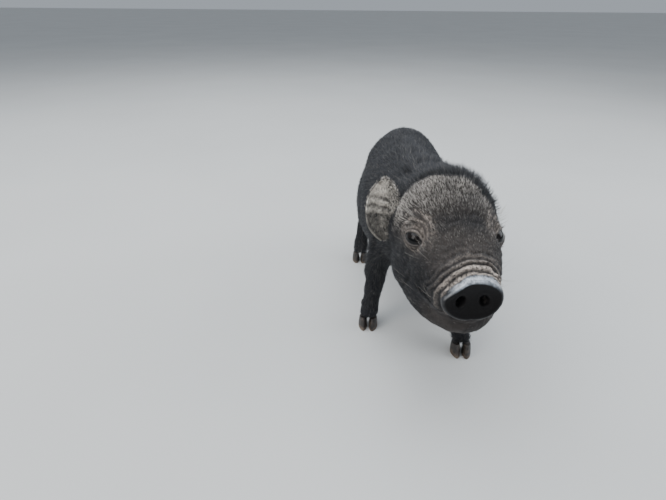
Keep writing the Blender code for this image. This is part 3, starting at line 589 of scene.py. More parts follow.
def tail_tube():
    line = bpy.data.curves.new("tail", "CURVE")
    line.dimensions = "3D"
    line.bevel_depth = MM
    line.bevel_resolution = 4
    line.use_fill_caps = True
    line.resolution_u = 10
    spline = line.splines.new("BEZIER")
    spline.bezier_points.add(len(TAIL) - 1)
    for point, (x, y, z, radius) in zip(spline.bezier_points, TAIL):
        point.co = Vector(DISC) + Vector((x, y, z)) * MM
        point.radius = radius
        point.handle_left_type = point.handle_right_type = "AUTO"
    mesh = finished(link("tail", line))
    bm = merged(mesh)
    bmesh.ops.recalc_face_normals(bm, faces=bm.faces)
    bm.to_mesh(mesh)
    bm.free()
    return mesh


SKIN_PART, EAR_PART, TAIL_PART = PARTS = range(3)


def fused(mesh, others):
    """The hide with ears and tail joined to it by unions, each face still knowing which it came from."""
    for _ in PARTS:
        mesh.materials.append(None)
    whole = link("skin", mesh)
    holders = []
    for part, other in others:
        other.polygons.foreach_set("material_index", np.full(len(other.polygons), part))
        for _ in PARTS:
            other.materials.append(None)
        holder = link("fusing", other)
        holders.append(holder)
        union = whole.modifiers.new("Fuse", "BOOLEAN")
        union.operation = "UNION"
        union.solver = "MANIFOLD"
        union.material_mode = "INDEX"
        union.object = holder
    result = finished(whole)
    for holder in holders:
        bpy.data.objects.remove(holder)
    return result


hide = fused(hide, [(EAR_PART, ear_sheet("right")), (EAR_PART, ear_sheet("left")), (TAIL_PART, tail_tube())])
skin = link("skin", hide)
bpy.context.view_layer.objects.active = skin
skin.select_set(True)
bpy.ops.object.mode_set(mode="EDIT")
bpy.ops.mesh.select_all(action="SELECT")
bpy.ops.uv.smart_project(angle_limit=math.radians(60), island_margin=0.002)
bpy.ops.object.mode_set(mode="OBJECT")
skin.select_set(False)

# The skin's looks
# Charcoal hide with a browner forehead, pale dusty ridges over the muzzle, a wet black disc and bare ears.
# Light and
# shade are painted in as well: a sky highlight on the disc's upper rim and on a tear, highlights on the lid
# folds, and shade in the creases, the eye openings, the ear's folds and over the face of the disc.
# Measures of the surface are kept on the mesh, and the material mixes its colours by them.


def behind_crown(head):
    """How far places lie behind the line where the forehead ends and the dark mane starts, in mm."""
    line = np.interp(head[:, 0], (-30, -17, -5, 5, 11, 16, 22), (71, 72, 63, 61.5, 59.5, 54, 52))
    return head[:, 1] - line


def crown_mark(head):
    """The browner, paler marking over forehead, brow and bridge, from 0 to 1. Skin and coat both use it."""
    y, z = head[:, 1], head[:, 2]
    chin = 0.5 * ease(-11, -17, z) * ease(26, 12, y)
    mark = ease(4, 20, y) * ease(1.5, -2.5, behind_crown(head)) * ease(-6, 24, z + 0.1 * (y - 50))
    mark *= 1 - 0.6 * bell(y, 34, 5) * ease(18, 10, np.abs(head[:, 0]))
    return np.clip((mark + chin) * (0.85 + 0.2 * waver(head, 16, 41)), 0, 1)


def keep(mesh, name, values):
    held = mesh.attributes.new(name, "FLOAT", "POINT")
    held.data.foreach_set("value", np.asarray(values, np.float32))


def level_maths(operation, swapped=False):
    """An operator between a level and a level or number, which adds its Math node."""

    def made(self, other):
        pair = (other, self) if swapped else (self, other)
        return self.look.node("ShaderNodeMath", {"operation": operation}, dict(enumerate(pair)))

    return made


class Level:
    """A number that varies over a surface, so that sums of them can be written as sums."""

    def __init__(self, look, socket):
        self.look, self.socket = look, socket

    __add__ = __radd__ = level_maths("ADD")
    __mul__ = __rmul__ = level_maths("MULTIPLY")
    __sub__, __rsub__ = level_maths("SUBTRACT"), level_maths("SUBTRACT", swapped=True)
    __pow__ = level_maths("POWER")


class Look:
    """A material of one Principled shader, with its nodes made by one method."""

    def __init__(self, name, **fixed):
        self.material = bpy.data.materials.new(name)
        self.material.use_nodes = True
        self.tree = self.material.node_tree
        self.shader = self.tree.nodes["Principled BSDF"]
        for socket, value in fixed.items():
            self.shader.inputs[socket.replace("_", " ")].default_value = value

    def node(self, kind, settings=None, values=None, out=0):
        made = self.tree.nodes.new(kind)
        for name, value in (settings or {}).items():
            setattr(made, name, value)
        for socket, value in (values or {}).items():
            if isinstance(value, Level):
                self.tree.links.new(value.socket, made.inputs[socket])
            elif value is not None:
                made.inputs[socket].default_value = value
        return Level(self, made.outputs[out])

    def kept(self, name):
        return self.node("ShaderNodeAttribute", {"attribute_name": name}, out=2)

    def place(self):
        return self.node("ShaderNodeTexCoord", out=3)

    def noise(self, scale, detail=3, rough=0.6, at=None):
        values = {"Vector": at or self.place(), "Scale": scale, "Detail": detail, "Roughness": rough}
        return self.node("ShaderNodeTexNoise", values=values)

    def mix(self, amount, first, second):
        first, second = ((*c, 1) if isinstance(c, tuple) else c for c in (first, second))
        settings = {"data_type": "RGBA", "clamp_factor": True}
        return self.node("ShaderNodeMix", settings, {0: amount, 6: first, 7: second}, out=2)

    def range(self, value, low, high):
        return self.node("ShaderNodeMapRange", None, {"Value": value, "From Min": low, "From Max": high})

    def bump(self, height, strength, distance, before=None):
        values = {"Height": height, "Strength": strength, "Distance": distance, "Normal": before}
        return self.node("ShaderNodeBump", values=values)

    def set(self, **links):
        for socket, value in links.items():
            self.tree.links.new(value.socket, self.shader.inputs[socket.replace("_", " ")])


def dressed(name, mesh, look, slot, *nodes):
    """The mesh as a piece of the animal in its material, standing for those nodes of the solids."""
    made = bpy.data.objects.get(name) or link(name, mesh)
    made.data.materials.clear()
    made.data.materials.append(look.material)
    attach(made, "root")
    if nodes:
        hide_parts(*nodes)


MEASURES = ("mark", "ridge", "wet", "bare", "shade", "rim", "face")
CHARCOAL = ((0.008, 0.008, 0.009), (0.018, 0.017, 0.018))
BROWN = ((0.040, 0.031, 0.026), (0.085, 0.068, 0.058))
BARE_CUP = ((0.60, 0.54, 0.46), (0.85, 0.79, 0.70))
# The blue-grey rim colour is a painted sky highlight on the disc's wet rim. The dust colour is pale dust on the
# muzzle's ridges, and also a painted highlight on the lid folds. The deep brown is painted shade, and the
# darker lower ear cup.
DUST_AND_LID_HIGHLIGHT, PAINTED_RIM_HIGHLIGHT = (0.66, 0.56, 0.48), (0.68, 0.73, 0.80)
DEEP_BROWN, WET_BLACK = (0.007, 0.006, 0.006), (0.007, 0.007, 0.009)


def hide_look():
    look = Look("hide", Roughness=0.6, Specular_IOR_Level=0.35, Coat_Roughness=0.2)
    mark, ridge, wet, bare, shade, rim, face = (look.kept(name) for name in MEASURES)
    mottle = look.range(look.noise(140, 4), 0.38, 0.66)
    fine = look.noise(1500, 3)
    colour = look.mix(mark, look.mix(mottle, *CHARCOAL), look.mix(mottle, *BROWN))
    colour = look.mix(bare, colour, look.mix(look.range(fine, 0.3, 0.7), *BARE_CUP))
    # Pale dust on the muzzle's fold ridges, and a painted highlight on the tops of the lid folds and on the
    # upper lid's edge.
    dust_and_highlight = look.range(look.noise(760, 4, 0.75), 0.36, 0.54) * ridge
    colour = look.mix(dust_and_highlight, colour, DUST_AND_LID_HIGHLIGHT)
    # Painted shade in creases and hollows and over the disc's face, and the darker lower ear cup, all in deep
    # brown.
    colour = look.mix(shade * 0.93, colour, DEEP_BROWN)
    colour = look.mix(wet * 0.92, colour, WET_BLACK)
    # Painted sky highlight on the wet upper rim of the disc and on the tears, mottled into glints.
    glint = look.range(look.noise(520, 4, 0.7), 0.36, 0.6) * 0.62 + 0.3
    colour = look.mix(rim * glint, colour, PAINTED_RIM_HIGHLIGHT)
    grain = look.node(
        "ShaderNodeTexVoronoi", {"feature": "DISTANCE_TO_EDGE"}, {"Vector": look.place(), "Scale": 900}
    )
    small = look.bump(grain + fine * 0.6, 0.35, 0.00025)
    wide = look.bump(look.noise(330, 4), 0.5, 0.0006, small)
    rough = 0.72 - wet * 0.4 + (fine - 0.5) * 0.25
    # The metallic share over the disc's face takes away its diffuse light: painted shade that darkens the face
    # past its own dark slate grey.
    look.set(Base_Color=colour, Roughness=rough, Normal=wide, Coat_Weight=wet**2, Metallic=face * 0.6)
    return look


part = read(hide.polygons, "material_index", kind=int)
on_ear = np.repeat(part == EAR_PART, read(hide.polygons, "loop_total", kind=int))
skin_at = places_of(hide)
skin_head = to_head(skin_at)
ear_point = np.zeros(len(skin_at))
ear_point[read(hide.loops, "vertex_index", kind=int)[on_ear]] = 1
_, _, fold_pale = muzzle_folds(skin_head)
gap = np.full(len(skin_at), 40.0)
inner, ring, tear_highlight, high = np.zeros((4, len(skin_at)))
for x in (1, -1):
    own_gap, own_inner, own_up, way, far = opening_gap(eye_places(skin_head, x), x)
    own = (way[:, 1] < 0.3) & (far < 30)
    gap[own], inner[own] = own_gap[own], own_inner[own]
    # ring is the height of the lid folds, with a raised band at the upper lid's edge; the pale made from it is
    # painted highlight.
    ring[own] = (lid_creases(own_gap, own_inner, own_up) + 1.2 * bell(own_gap, 0.8, 0.4) * (own_up > 0))[own]
    # A tear at the lower inner corner of each eye is a painted highlight: a pale wet spot in the rim's
    # highlight colour.
    tear_highlight[own] = (0.8 * bell(own_inner, 6.2, 0.6) * bell(own_gap, 0.9, 0.4) * (own_up < 0.5))[own]
    high[own] = own_up[own]
from_disc = in_disc(skin_head)
from_mouth = skin_head[:, 2] - mouth_line(skin_head[:, 1])
disc_out, disc_low = disc_spread(from_disc)
disc_mark = ease(4.2, 3.3, from_disc[:, 1]) * ease(1.1, 1.03, disc_out)
disc_face = disc_mark * ease(0.97, 0.86, disc_out + 0.016 * np.maximum(disc_low - 2, 0))
wet_lip = 0.6 * bell(from_mouth, 0, 1.6) * ease(38, 30, skin_head[:, 1])
wet_lid = (0.3 * ease(0.9, 0.4, gap) + 0.4 * ease(1.8, 0.8, gap) * ease(5, 6.5, inner)) * (gap > 0)
facing = outward(hide) @ HEAD_TURN
cup_side, cup_low, cup_hair = np.zeros((3, len(skin_at)))
for side in EARS:
    root, long, axes = ear_axes(side)
    here = ear_point * (np.sign(skin_head[:, 0]) == (1 if side == "left" else -1))
    cup_side += here * ease(-0.1, 0.5, -facing @ axes[:, 1])
    local = (skin_head - np.array(root)) @ axes
    to_face = local[:, 0] * (-1 if side == "left" else 1)
    # dips paints shade into the troughs between the cup's ridges. low_cup makes the lower cup darker brown.
    dips = ease(0.1, -0.7, cup_ridges(to_face, local[:, 2], long)) * ease(0.9, 0.7, local[:, 2] / long)
    low_cup = ease(0.6, 0.4, local[:, 2] / long) * (1 + 0.25 * waver(skin_head, 3.6, 62)) + dips
    low_cup += 0.12 * waver(skin_head, 5, 61)
    cup_low += here * np.clip(low_cup, 0, 1)
    cup_hair += here * ease(-1.0, 2.5, to_face)
# Round the eyes the pale is partly bare skin, and partly a painted highlight on the tops of the lid folds and
# on the upper lid's edge, fading towards the inner brow. It joins the pale dust on the muzzle's fold ridges.
brow_fade = 1 - 0.6 * ease(1.5, 6.5, inner) * ease(3, 6, high)
ring_zone = ease(12, 7, gap * (1.6 - 0.6 * ease(-2, 2, high))) * (gap > 0)
pale = fold_pale * (1 - disc_mark) + ring_zone * brow_fade * np.clip(0.09 + 0.38 * ring, 0, 0.52)
pale += 0.1 * bell(np.abs(skin_head[:, 0]), 19, 5) * bell(skin_head[:, 1], 32, 6) * bell(skin_head[:, 2], 20, 5)
keep(hide, "mark", crown_mark(skin_head) * (1 - ear_point))
keep(hide, "ridge", np.clip(pale, 0, 1))
wet_disc = (disc_mark - 0.7 * disc_face) * (0.45 + 0.55 * ease(-3, 6, disc_low))
keep(hide, "wet", np.clip(wet_disc + wet_lip + wet_lid, 0, 1))
keep(hide, "bare", cup_side)
# The painted sky highlight is brightest on the top middle of the rim, which faces up, and fades to the sides
# and below.
rim_light = (0.02 + 0.98 * ease(3, 9, disc_low)) * (0.55 + 0.45 * bell(from_disc[:, 0], -1, 8))
keep(hide, "rim", (disc_mark - disc_face) * rim_light + tear_highlight)
# face marks the disc's face for the painted shade of the metallic share.
keep(hide, "face", disc_face)
# The shade measure is painted shade: in the creases round the eyes, on the skin inside the eye openings, in the
# ear's troughs and more along its lower rim, which faces the light, and over the face of the disc. It also
# makes the lower ear cup darker brown.
crease_shade = 0.5 * ring_zone * np.clip(-ring, 0, 1)
dark = cup_low * (0.98 - 0.14 * cup_side) + ease(0.15, -0.2, gap) + disc_face + crease_shade
keep(hide, "shade", np.clip(dark, 0, 1))
wet = np.clip(disc_mark + wet_lip + wet_lid, 0, 1)
hide.shade_smooth()
dressed("skin", hide, hide_look(), "skin", *FLESH, "tail", "ear_left", "ear_right")

# Eyes
# Nearly black balls set deep between the lids, wet, with a dark brown iris and a slightly bulging cornea.

IRIS = ((0.004, 0.003, 0.003), (0.012, 0.008, 0.006))
PUPIL, RIM_OF_IRIS, WHITE = (0.002, 0.002, 0.002), (0.006, 0.005, 0.005), (0.05, 0.04, 0.035)
PUPIL_EDGE, IRIS_EDGE, WHITE_EDGE = (2.7, 3.2), (4.9, 5.6), (6.9, 7.4)
CORNEA_BULGE = 0.38


def eye_look():
    look = Look("eye", Roughness=0.06, IOR=1.34)
    from_pupil = look.kept("from_pupil")
    iris = look.mix(look.range(look.noise(1100, 3), 0.35, 0.7), *IRIS)
    colour = look.mix(look.range(from_pupil, *PUPIL_EDGE), PUPIL, iris)
    colour = look.mix(look.range(from_pupil, *IRIS_EDGE), colour, RIM_OF_IRIS)
    look.set(Base_Color=look.mix(look.range(from_pupil, *WHITE_EDGE), colour, WHITE))
    return look


def eyeball(x):
    bm = bmesh.new()
    bmesh.ops.create_uvsphere(bm, u_segments=72, v_segments=56, radius=1)
    bm.transform(Matrix.Rotation(math.radians(90), 4, "X"))
    for vert in bm.verts:
        off = math.degrees(math.acos(max(-1, min(1, -vert.co.y))))
        bulge = CORNEA_BULGE * max(0, math.cos(math.radians(min(off * 2.1, 90)))) ** 1.2
        vert.co = vert.co * (EYE_RADIUS - 0.1 + bulge)
    mesh = as_mesh(bm, "eyeball")
    local = places_of(mesh)
    keep(mesh, "from_pupil", np.where(local[:, 1] < 0, np.hypot(local[:, 0], local[:, 2] * 1.15), 8))
    mesh.transform(head_matrix(EYE_PLACE * (x, 1, 1), eye_turn(x)))
    mesh.shade_smooth()
    return mesh


wet_eye = eye_look()
dressed("eyeball_left", eyeball(1), wet_eye, "eye", "eye_left")
dressed("eyeball_right", eyeball(-1), wet_eye, "eye", "eye_right")

# Claws
# Two main claws of dark horn on each foot and two small ones behind, on which fine lines run down to a worn,
# dusty edge. They are the imported claws, merged, bevelled and refined.

HORN, HORN_DUST = ((0.010, 0.009, 0.009), (0.045, 0.036, 0.030)), (0.16, 0.12, 0.09)
HORN_EDGE, HORN_WEAR = 0.35, 3.5


def horn_look():
    look = Look("horn")
    lines = look.node("ShaderNodeMapping", {}, {"Vector": look.place(), "Scale": (1, 1, 0.25)})
    streak = look.noise(900, 4, at=lines)
    worn = look.range(look.node("ShaderNodeSeparateXYZ", values={0: look.place()}, out=2), HORN_WEAR * MM, 0)
    dusty = look.range(look.noise(260, 4) + worn * 0.45, 0.5, 0.95)
    colour = look.mix(dusty, look.mix(look.range(streak, 0.35, 0.7), *HORN), HORN_DUST)
    look.set(Base_Color=colour, Roughness=0.42 + dusty * 0.35, Normal=look.bump(streak, 0.4, 0.0004))
    return look


def horn_mesh(node):
    made = link("horn", as_mesh(merged(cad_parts[node].data), "horn"))
    bevel = made.modifiers.new("Edge", "BEVEL")
    bevel.width = HORN_EDGE * MM
    bevel.segments = 2
    bevel.limit_method = "ANGLE"
    bevel.angle_limit = math.radians(40)
    smooth = made.modifiers.new("Smooth", "SUBSURF")
    smooth.levels = smooth.render_levels = 1
    mesh = finished(made)
    at = places_of(mesh)
    at[:, 2] = np.maximum(at[:, 2], 0)
    move_to(mesh, at)
    mesh.shade_smooth()
    return mesh


horn = horn_look()
for node in sorted(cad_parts):
    if node.startswith(("claw_", "dewclaw_")):
        dressed(f"horn_{node}", horn_mesh(node), horn, "claw", node)

# Coat
# Short bristles over nearly all the hide, lying back from the snout and down the legs, with a mane of longer
# ones from the crown to the withers. Each bristle is one thin tapered blade rooted in the skin.

BAKE_PATCH = 0.0027
COAT_FROM_FLOOR, BARE_LID, BARE_WET = 9.6, 1.6, 0.45
hide.calc_loop_triangles()
hide_tris = read(hide.loop_triangles, "vertices", 3, int)
tri_loops = read(hide.loop_triangles, "loops", 3, int)
tri_part = part[read(hide.loop_triangles, "polygon_index", kind=int)]
unwrap = read(hide.uv_layers[0].data, "uv", 2)
skin_out = outward(hide)
corners = skin_at[hide_tris]
tri_area = np.linalg.norm(np.cross(corners[:, 1] - corners[:, 0], corners[:, 2] - corners[:, 0]), axis=1) / 2
tri_at = corners.mean(axis=1)
tri_head = to_head(tri_at)
tri_x, tri_y, tri_up = tri_head.T
tri_z = tri_at[:, 2] / MM


def over_tris(values):
    """The mean of the skin's values over each of its triangles."""
    return values[hide_tris].mean(axis=1)


tri_gap, tri_cup = over_tris(gap), over_tris(cup_side)
bare_of_coat = (tri_gap < BARE_LID) | (over_tris(wet) > BARE_WET) | (tri_z < COAT_FROM_FLOOR)
hair_gap = tri_gap * (1.8 - 0.8 * ease(0.5, 5, over_tris(high)))
round_eye = ease(3.8, 11, hair_gap) * 0.89 + 0.11


def roots(count, density, seed):
    """Places on the skin to grow from: each one's triangle, place, outward way and place on the unwrap."""
    draw = np.random.default_rng(seed)
    share = tri_area * density
    picked = draw.choice(len(share), count, p=share / share.sum())
    a, b = draw.random((2, count))
    over = a + b > 1
    a[over], b[over] = 1 - a[over], 1 - b[over]
    weights = np.stack([1 - a - b, a, b], axis=1)[:, :, None]
    at = (skin_at[hide_tris[picked]] * weights).sum(axis=1)
    out = (skin_out[hide_tris[picked]] * weights).sum(axis=1)
    out /= np.linalg.norm(out, axis=1)[:, None]
    return picked, at, out, (unwrap[tri_loops[picked]] * weights).sum(axis=1)


def lie_of_coat(at, out, picked):
    """Which way the coat lies: back from the snout, up over the forehead, down the flanks and legs."""
    head = to_head(at)
    ones = np.ones(len(at))
    body_way = np.stack([0 * ones, ones, -0.55 * np.abs(out[:, 0])], axis=1)
    low = (ease(74, 50, at[:, 2] / MM) * ease(86, 96, head[:, 1]))[:, None]
    body_way = body_way * (1 - low) + np.array((0, 0.28, -1)) * low
    head_way = np.stack([0.012 * head[:, 0], ones, 0.28 * ones], axis=1) @ HEAD_TURN.T
    far_back = ease(78, 100, head[:, 1])[:, None]
    way = head_way * (1 - far_back) + body_way * far_back
    grows_on = tri_part[picked][:, None]
    way = np.where(grows_on == EAR_PART, np.array((0, 0.25, 1.0)) @ HEAD_TURN.T, way)
    way = np.where(grows_on == TAIL_PART, (0, 0.25, -1), way)
    swirl = np.stack([waver(at / MM, 26, seed) for seed in (51, 52, 53)], axis=1)
    way = way + 0.16 * swirl
    way -= (way * out).sum(axis=1)[:, None] * out
    return way / np.linalg.norm(way, axis=1)[:, None]


BRISTLE_BLACK = ((0.006, 0.006, 0.007), (0.034, 0.035, 0.040))
BRISTLE_BROWN = ((0.018, 0.015, 0.014), (0.085, 0.074, 0.066))
BRISTLE_PALE = (0.62, 0.575, 0.52)


def bristle_look():
    look = Look("bristles", Roughness=0.5, Specular_IOR_Level=0.3)
    mark, along, tone = (look.kept(name) for name in ("mark", "along", "tone"))
    colour = look.mix(mark, look.mix(along, *BRISTLE_BLACK), look.mix(along, *BRISTLE_BROWN))
    pale = look.range(tone, 0.85, 1.0) * along**0.7 * (mark * 0.75 + 0.25)
    look.set(Base_Color=look.mix(pale, colour, BRISTLE_PALE), Roughness=0.46 + tone * 0.2)
    return look


BRISTLES = bristle_look()
DROOP, TAPER, ROOT_DEEP = 0.55, 0.55, 0.12


def grown(name, count, density, seed, long, lift, wide, segments=2, tone=None, mark=None, stray=0.2):
    """Bristles as thin tapered blades, their sizes in mm and their lift in degrees from the skin. A measure may
    be a function of the roots' places in the head's frame."""
    picked, at, out, bake = roots(count, density, seed)
    head = to_head(at)
    long, lift, wide, tone = (v(head) if callable(v) else v for v in (long, lift, wide, tone))
    draw = np.random.default_rng(seed)
    lie = lie_of_coat(at, out, picked)
    turn = draw.normal(0, stray, count)[:, None]
    lie = lie * np.cos(turn) + np.cross(out, lie) * np.sin(turn)
    long = long * draw.uniform(0.7, 1.25, count) * MM
    lift = np.radians(np.clip(lift + draw.normal(0, 7, count), 4, 85))
    wide = wide * MM * draw.uniform(0.75, 1.25, count)
    roll = draw.normal(0, 0.6, count)[:, None]
    flat = np.cross(out, lie) * np.cos(roll) + out * np.sin(roll)
    spots, place = [], at - out * ROOT_DEEP * MM
    for step in range(segments):
        half = (wide * (1 - TAPER * step / segments) / 2)[:, None]
        spots += [place - flat * half, place + flat * half]
        angle = (lift * (1 - DROOP * step / (segments - 1)))[:, None]
        place = place + (lie * np.cos(angle) + out * np.sin(angle)) * (long / segments)[:, None]
    points = np.stack([*spots, place], axis=1)
    each = points.shape[1]
    tris = [corner for k in range(0, each - 3, 2) for corner in (k, k + 1, k + 3, k, k + 3, k + 2)]
    tris += [each - 3, each - 2, each - 1]
    faces = (np.arange(count)[:, None] * each + tris).ravel()
    mesh = bpy.data.meshes.new(name)
    mesh.vertices.add(count * each)
    mesh.vertices.foreach_set("co", points.ravel())
    mesh.loops.add(len(faces))
    mesh.loops.foreach_set("vertex_index", faces)
    mesh.polygons.add(len(faces) // 3)
    mesh.polygons.foreach_set("loop_start", np.arange(0, len(faces), 3))
    mesh.update(calc_edges=True)
    reach = np.append(np.arange(each - 1) // 2 / segments, 1.0)
    keep(mesh, "along", np.tile(reach, count))
    keep(mesh, "tone", np.repeat(draw.random(count) if tone is None else np.broadcast_to(tone, count), each))
    keep(mesh, "mark", np.repeat(crown_mark(head) if mark is None else np.full(count, mark), each))
    sides = np.append(np.arange(each - 1) % 2 * 2 - 1, 0)
    patch = np.stack([sides / 2, reach - 0.5], axis=1) * BAKE_PATCH
    layer = mesh.uv_layers.new(name="OFBake")
    layer.data.foreach_set("uv", (bake[:, None] + patch).reshape(-1, 2)[faces].ravel())
    mesh.shade_smooth()
    dressed(name, mesh, BRISTLES, "coat")


def coat_long(head):
    """The coat's length in mm: shortest on the muzzle and feet, longest on the neck and back."""
    y, z = head[:, 1], head[:, 2]
    length = 1.3 + 1.1 * ease(20, 34, y) + 0.7 * ease(34, 56, y)
    length += 1.4 * ease(56, 84, y) + 1.6 * ease(84, 120, y)
    length += 0.9 * ease(12, 0, z) * ease(34, 50, y) * ease(84, 70, y)
    low = ease(66, 30, from_head(head)[:, 2] / MM) * ease(86, 96, y)
    return length * (1 - 0.42 * low)


def coat_lift(head):
    """How steeply the coat stands off the skin, in degrees."""
    y, z = head[:, 1], head[:, 2]
    steep = 22 + 12 * ease(24, 44, z + 0.2 * (y - 40)) * ease(110, 88, y) + 8 * ease(30, 12, y)
    low = ease(66, 40, from_head(head)[:, 2] / MM) * ease(86, 96, y)
    return steep - 8 * low


# The zones of the coat end at these distances behind the disc, and at these heights over it and over the floor
MUZZLE_COAT_END, HEAD_COAT_END, SHOULDERS_END, BARREL_END = 33, 88, 150, 205
FOREHEAD_FROM, LEGS_TO = 14, 52
on_skin = (tri_part == SKIN_PART) & ~bare_of_coat
on_muzzle, behind_head, over_legs = tri_y < MUZZLE_COAT_END, tri_y >= HEAD_COAT_END, tri_z >= LEGS_TO
on_head, on_brow = on_skin & ~on_muzzle & ~behind_head, tri_up >= FOREHEAD_FROM
on_body = on_skin & behind_head & over_legs
on_rump = tri_y >= BARREL_END
on_shoulders = tri_y < SHOULDERS_END
# Where each piece of the coat grows, how many bristles it has, and how wide they are
ZONES = {
    "coat_muzzle": (on_skin & on_muzzle, 20000, 0.20),
    "coat_face": (on_head & ~on_brow, 42000, 0.25),
    "coat_forehead": (on_head & on_brow, 22000, 0.28),
    "coat_shoulders": (on_body & on_shoulders, 62000, 0.32),
    "coat_barrel": (on_body & ~on_shoulders & ~on_rump, 52000, 0.34),
    "coat_rump": (on_body & on_rump, 52000, 0.34),
    "coat_legs": (on_skin & behind_head & ~over_legs, 42000, 0.27),
    "coat_tail": (tri_part == TAIL_PART, 2600, 0.24),
}
for seed, (name, (where, count, wide)) in enumerate(ZONES.items(), 100):
    thinned = 0.05 + 0.95 * ease(10, 24, tri_y) if name == "coat_muzzle" else 1.0
    grown(name, count, where * round_eye * thinned, seed, coat_long, coat_lift, wide)


def behind(low, high, first, last):
    """A measure that changes from first to last over those distances behind the disc."""
    return lambda head: first + (last - first) * ease(low, high, head[:, 1])


forehead = on_skin * round_eye * crown_mark(tri_head) * ease(8, 22, tri_up) * ease(7, 12, hair_gap)
forehead *= (0.1 + 0.9 * ease(33, 54, tri_y)) * (0.7 + 0.6 * ease(5, -25, tri_x))
tips_long, tips_tone = behind(40, 60, 2.4, 3.4), behind(32, 60, 0.865, 1.0)
grown("coat_tips", 3900, forehead, 121, tips_long, lift=26, wide=0.42, tone=tips_tone, stray=0.12)

ears = (tri_part == EAR_PART) & (tri_z > 0)
from_face, low_in_cup = 1 - over_tris(cup_hair), over_tris(cup_low)
ear_hair = ears * (1.0 - tri_cup * from_face * (0.97 - 0.4 * low_in_cup))
grown("coat_ears", 9000, ear_hair, 131, long=2.3, lift=22, wide=0.22)
ear_rim = ears * (4 * tri_cup * (1 - tri_cup) * from_face + 0.1 * tri_cup) * (1 - low_in_cup)
grown("ear_fringe", 2600, ear_rim, 132, long=2.4, lift=46, wide=0.18, segments=3, tone=1, mark=1)

# The mane's half width, and its bristles' length and lift, by the distance behind the disc
MANE_HALF = ((50, 66, 90, 120, 150, 190), (24, 25, 17, 12, 8, 3))
MANE_LONG = ((50, 62, 78, 100, 140, 190), (6, 8, 9.5, 11.5, 10.5, 7.5))
MANE_LIFT = ((50, 62, 80, 100, 140, 190), (40, 48, 58, 52, 42, 34))


def mane_long(head):
    return np.interp(head[:, 1], *MANE_LONG)


def mane_lift(head):
    return np.interp(head[:, 1], *MANE_LIFT)


def strays_long(head):
    return 9.5 - 4 * ease(2, 14, head[:, 0])


crest_off = np.abs(tri_at[:, 0] - crest_place((tri_at[:, 1] - DISC[1]) / MM)) / MM
past_crown = behind_crown(tri_head)
mane = ease(1.0, 0.55, crest_off / np.interp(tri_y, *MANE_HALF)) * ease(-1, 5, past_crown)
mane *= on_skin * (tri_z > 105) * ease(194, 180, tri_y) * (0.4 + 0.6 * ease(72, 90, tri_y))
grown("coat_mane", 9000, mane, 141, mane_long, mane_lift, behind(70, 90, 0.22, 0.36), segments=3)
crown = on_skin * ease(-1, 3, past_crown) * ease(22, 12, past_crown) * (tri_up > 22)
grown("crown_strays", 900, crown, 145, strays_long, lift=66, wide=0.19, segments=3, stray=0.4)

on_tail = tri_part == TAIL_PART
brush = on_tail & (tri_z < np.percentile(tri_z[on_tail], 30))
grown("coat_brush", 420, brush, 151, long=9, lift=16, wide=0.34, segments=3)

lids = (tri_part == SKIN_PART) & (tri_gap > 0.5) & (tri_gap < 1.5)
lids &= (tri_up > EYE_PLACE[2] + 0.5) & (tri_y < 60)
grown("lashes", 120, lids, 161, long=3.6, lift=58, wide=0.16, segments=3, tone=0.9, mark=1)
lips = on_skin * ease(8, 14, tri_y) * ease(46, 36, tri_y) * ease(-24, -18, tri_up) * ease(22, 14, tri_up)
lips *= np.abs(tri_x) > 12
grown("whiskers", 24, lips, 171, long=12, lift=44, wide=0.12, segments=3, tone=1, mark=1)
brows = on_skin * bell(np.abs(tri_x), 25, 3) * bell(tri_y, 46, 4) * bell(tri_up, 24, 3)
grown("brow_whiskers", 34, brows, 181, long=10, lift=58, wide=0.22, segments=3, tone=1, mark=1)

# Floor, lights and camera
# A wide pale floor under soft studio light from above and behind, like an overcast sky, and the camera where
# the photograph was taken from, close over the animal's head.


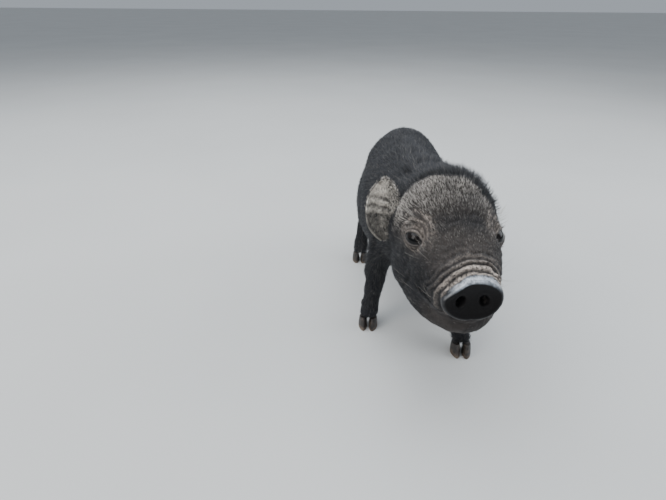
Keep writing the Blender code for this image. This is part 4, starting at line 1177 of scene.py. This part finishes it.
def floor_look():
    look = Look("floor", Roughness=0.85)
    shade = look.range(look.noise(3, 2), 0.3, 0.7)
    look.set(Base_Color=look.mix(shade, (0.60, 0.60, 0.585), (0.64, 0.64, 0.625)))
    return look


bm = bmesh.new()
bmesh.ops.create_grid(bm, x_segments=1, y_segments=1, size=14)
floor = link("floor", as_mesh(bm, "floor"))
floor.data.materials.append(floor_look().material)


def soft_light(name, place, aim, size, watts, colour):
    lamp = bpy.data.lights.new(name, "AREA")
    lamp.shape = "SQUARE"
    lamp.size = size
    lamp.energy = watts
    lamp.color = colour
    made = link(name, lamp)
    made.location = place
    made.rotation_euler = (Vector(aim) - Vector(place)).to_track_quat("-Z", "Y").to_euler()


soft_light("sky_light", (-0.25, 0.15, 1.3), (0, -0.05, 0.08), size=1.8, watts=28, colour=(0.92, 0.96, 1.0))
soft_light("front_light", (-0.85, -0.65, 0.85), (0, -0.1, 0.08), size=0.7, watts=6, colour=(1.0, 0.98, 0.95))
soft_light("side_light", (0.9, 0.1, 0.55), (0, 0, 0.08), size=0.7, watts=5, colour=(0.9, 0.95, 1.0))
sky = bpy.data.worlds.new("sky")
sky.use_nodes = True
sky.node_tree.nodes["Background"].inputs["Color"].default_value = (0.82, 0.9, 1.0, 1)
sky.node_tree.nodes["Background"].inputs["Strength"].default_value = 0.45
bpy.context.scene.world = sky

CAMERA_FROM_DISC = Vector((-0.0576, -0.2089, 0.1388))
FOCAL_PIXELS = 463
IMAGE_PIXELS = 666
azimuth, dip, roll = math.radians(-4.75), math.radians(28.33), math.radians(0.38)
ahead = Vector((math.sin(azimuth) * math.cos(dip), math.cos(azimuth) * math.cos(dip), -math.sin(dip)))
level = Vector((math.cos(azimuth), -math.sin(azimuth), 0))
upright = level.cross(ahead)
right = level * math.cos(roll) + upright * math.sin(roll)
lens = bpy.data.cameras.new("camera")
lens.sensor_width = 36
lens.lens = FOCAL_PIXELS / IMAGE_PIXELS * lens.sensor_width
lens.clip_start = 0.01
camera = link("camera", lens)
axes = Matrix((right, right.cross(ahead), -ahead)).transposed()
camera.matrix_world = Matrix.Translation(Vector(DISC) + CAMERA_FROM_DISC) @ axes.to_4x4()
bpy.context.scene.camera = camera
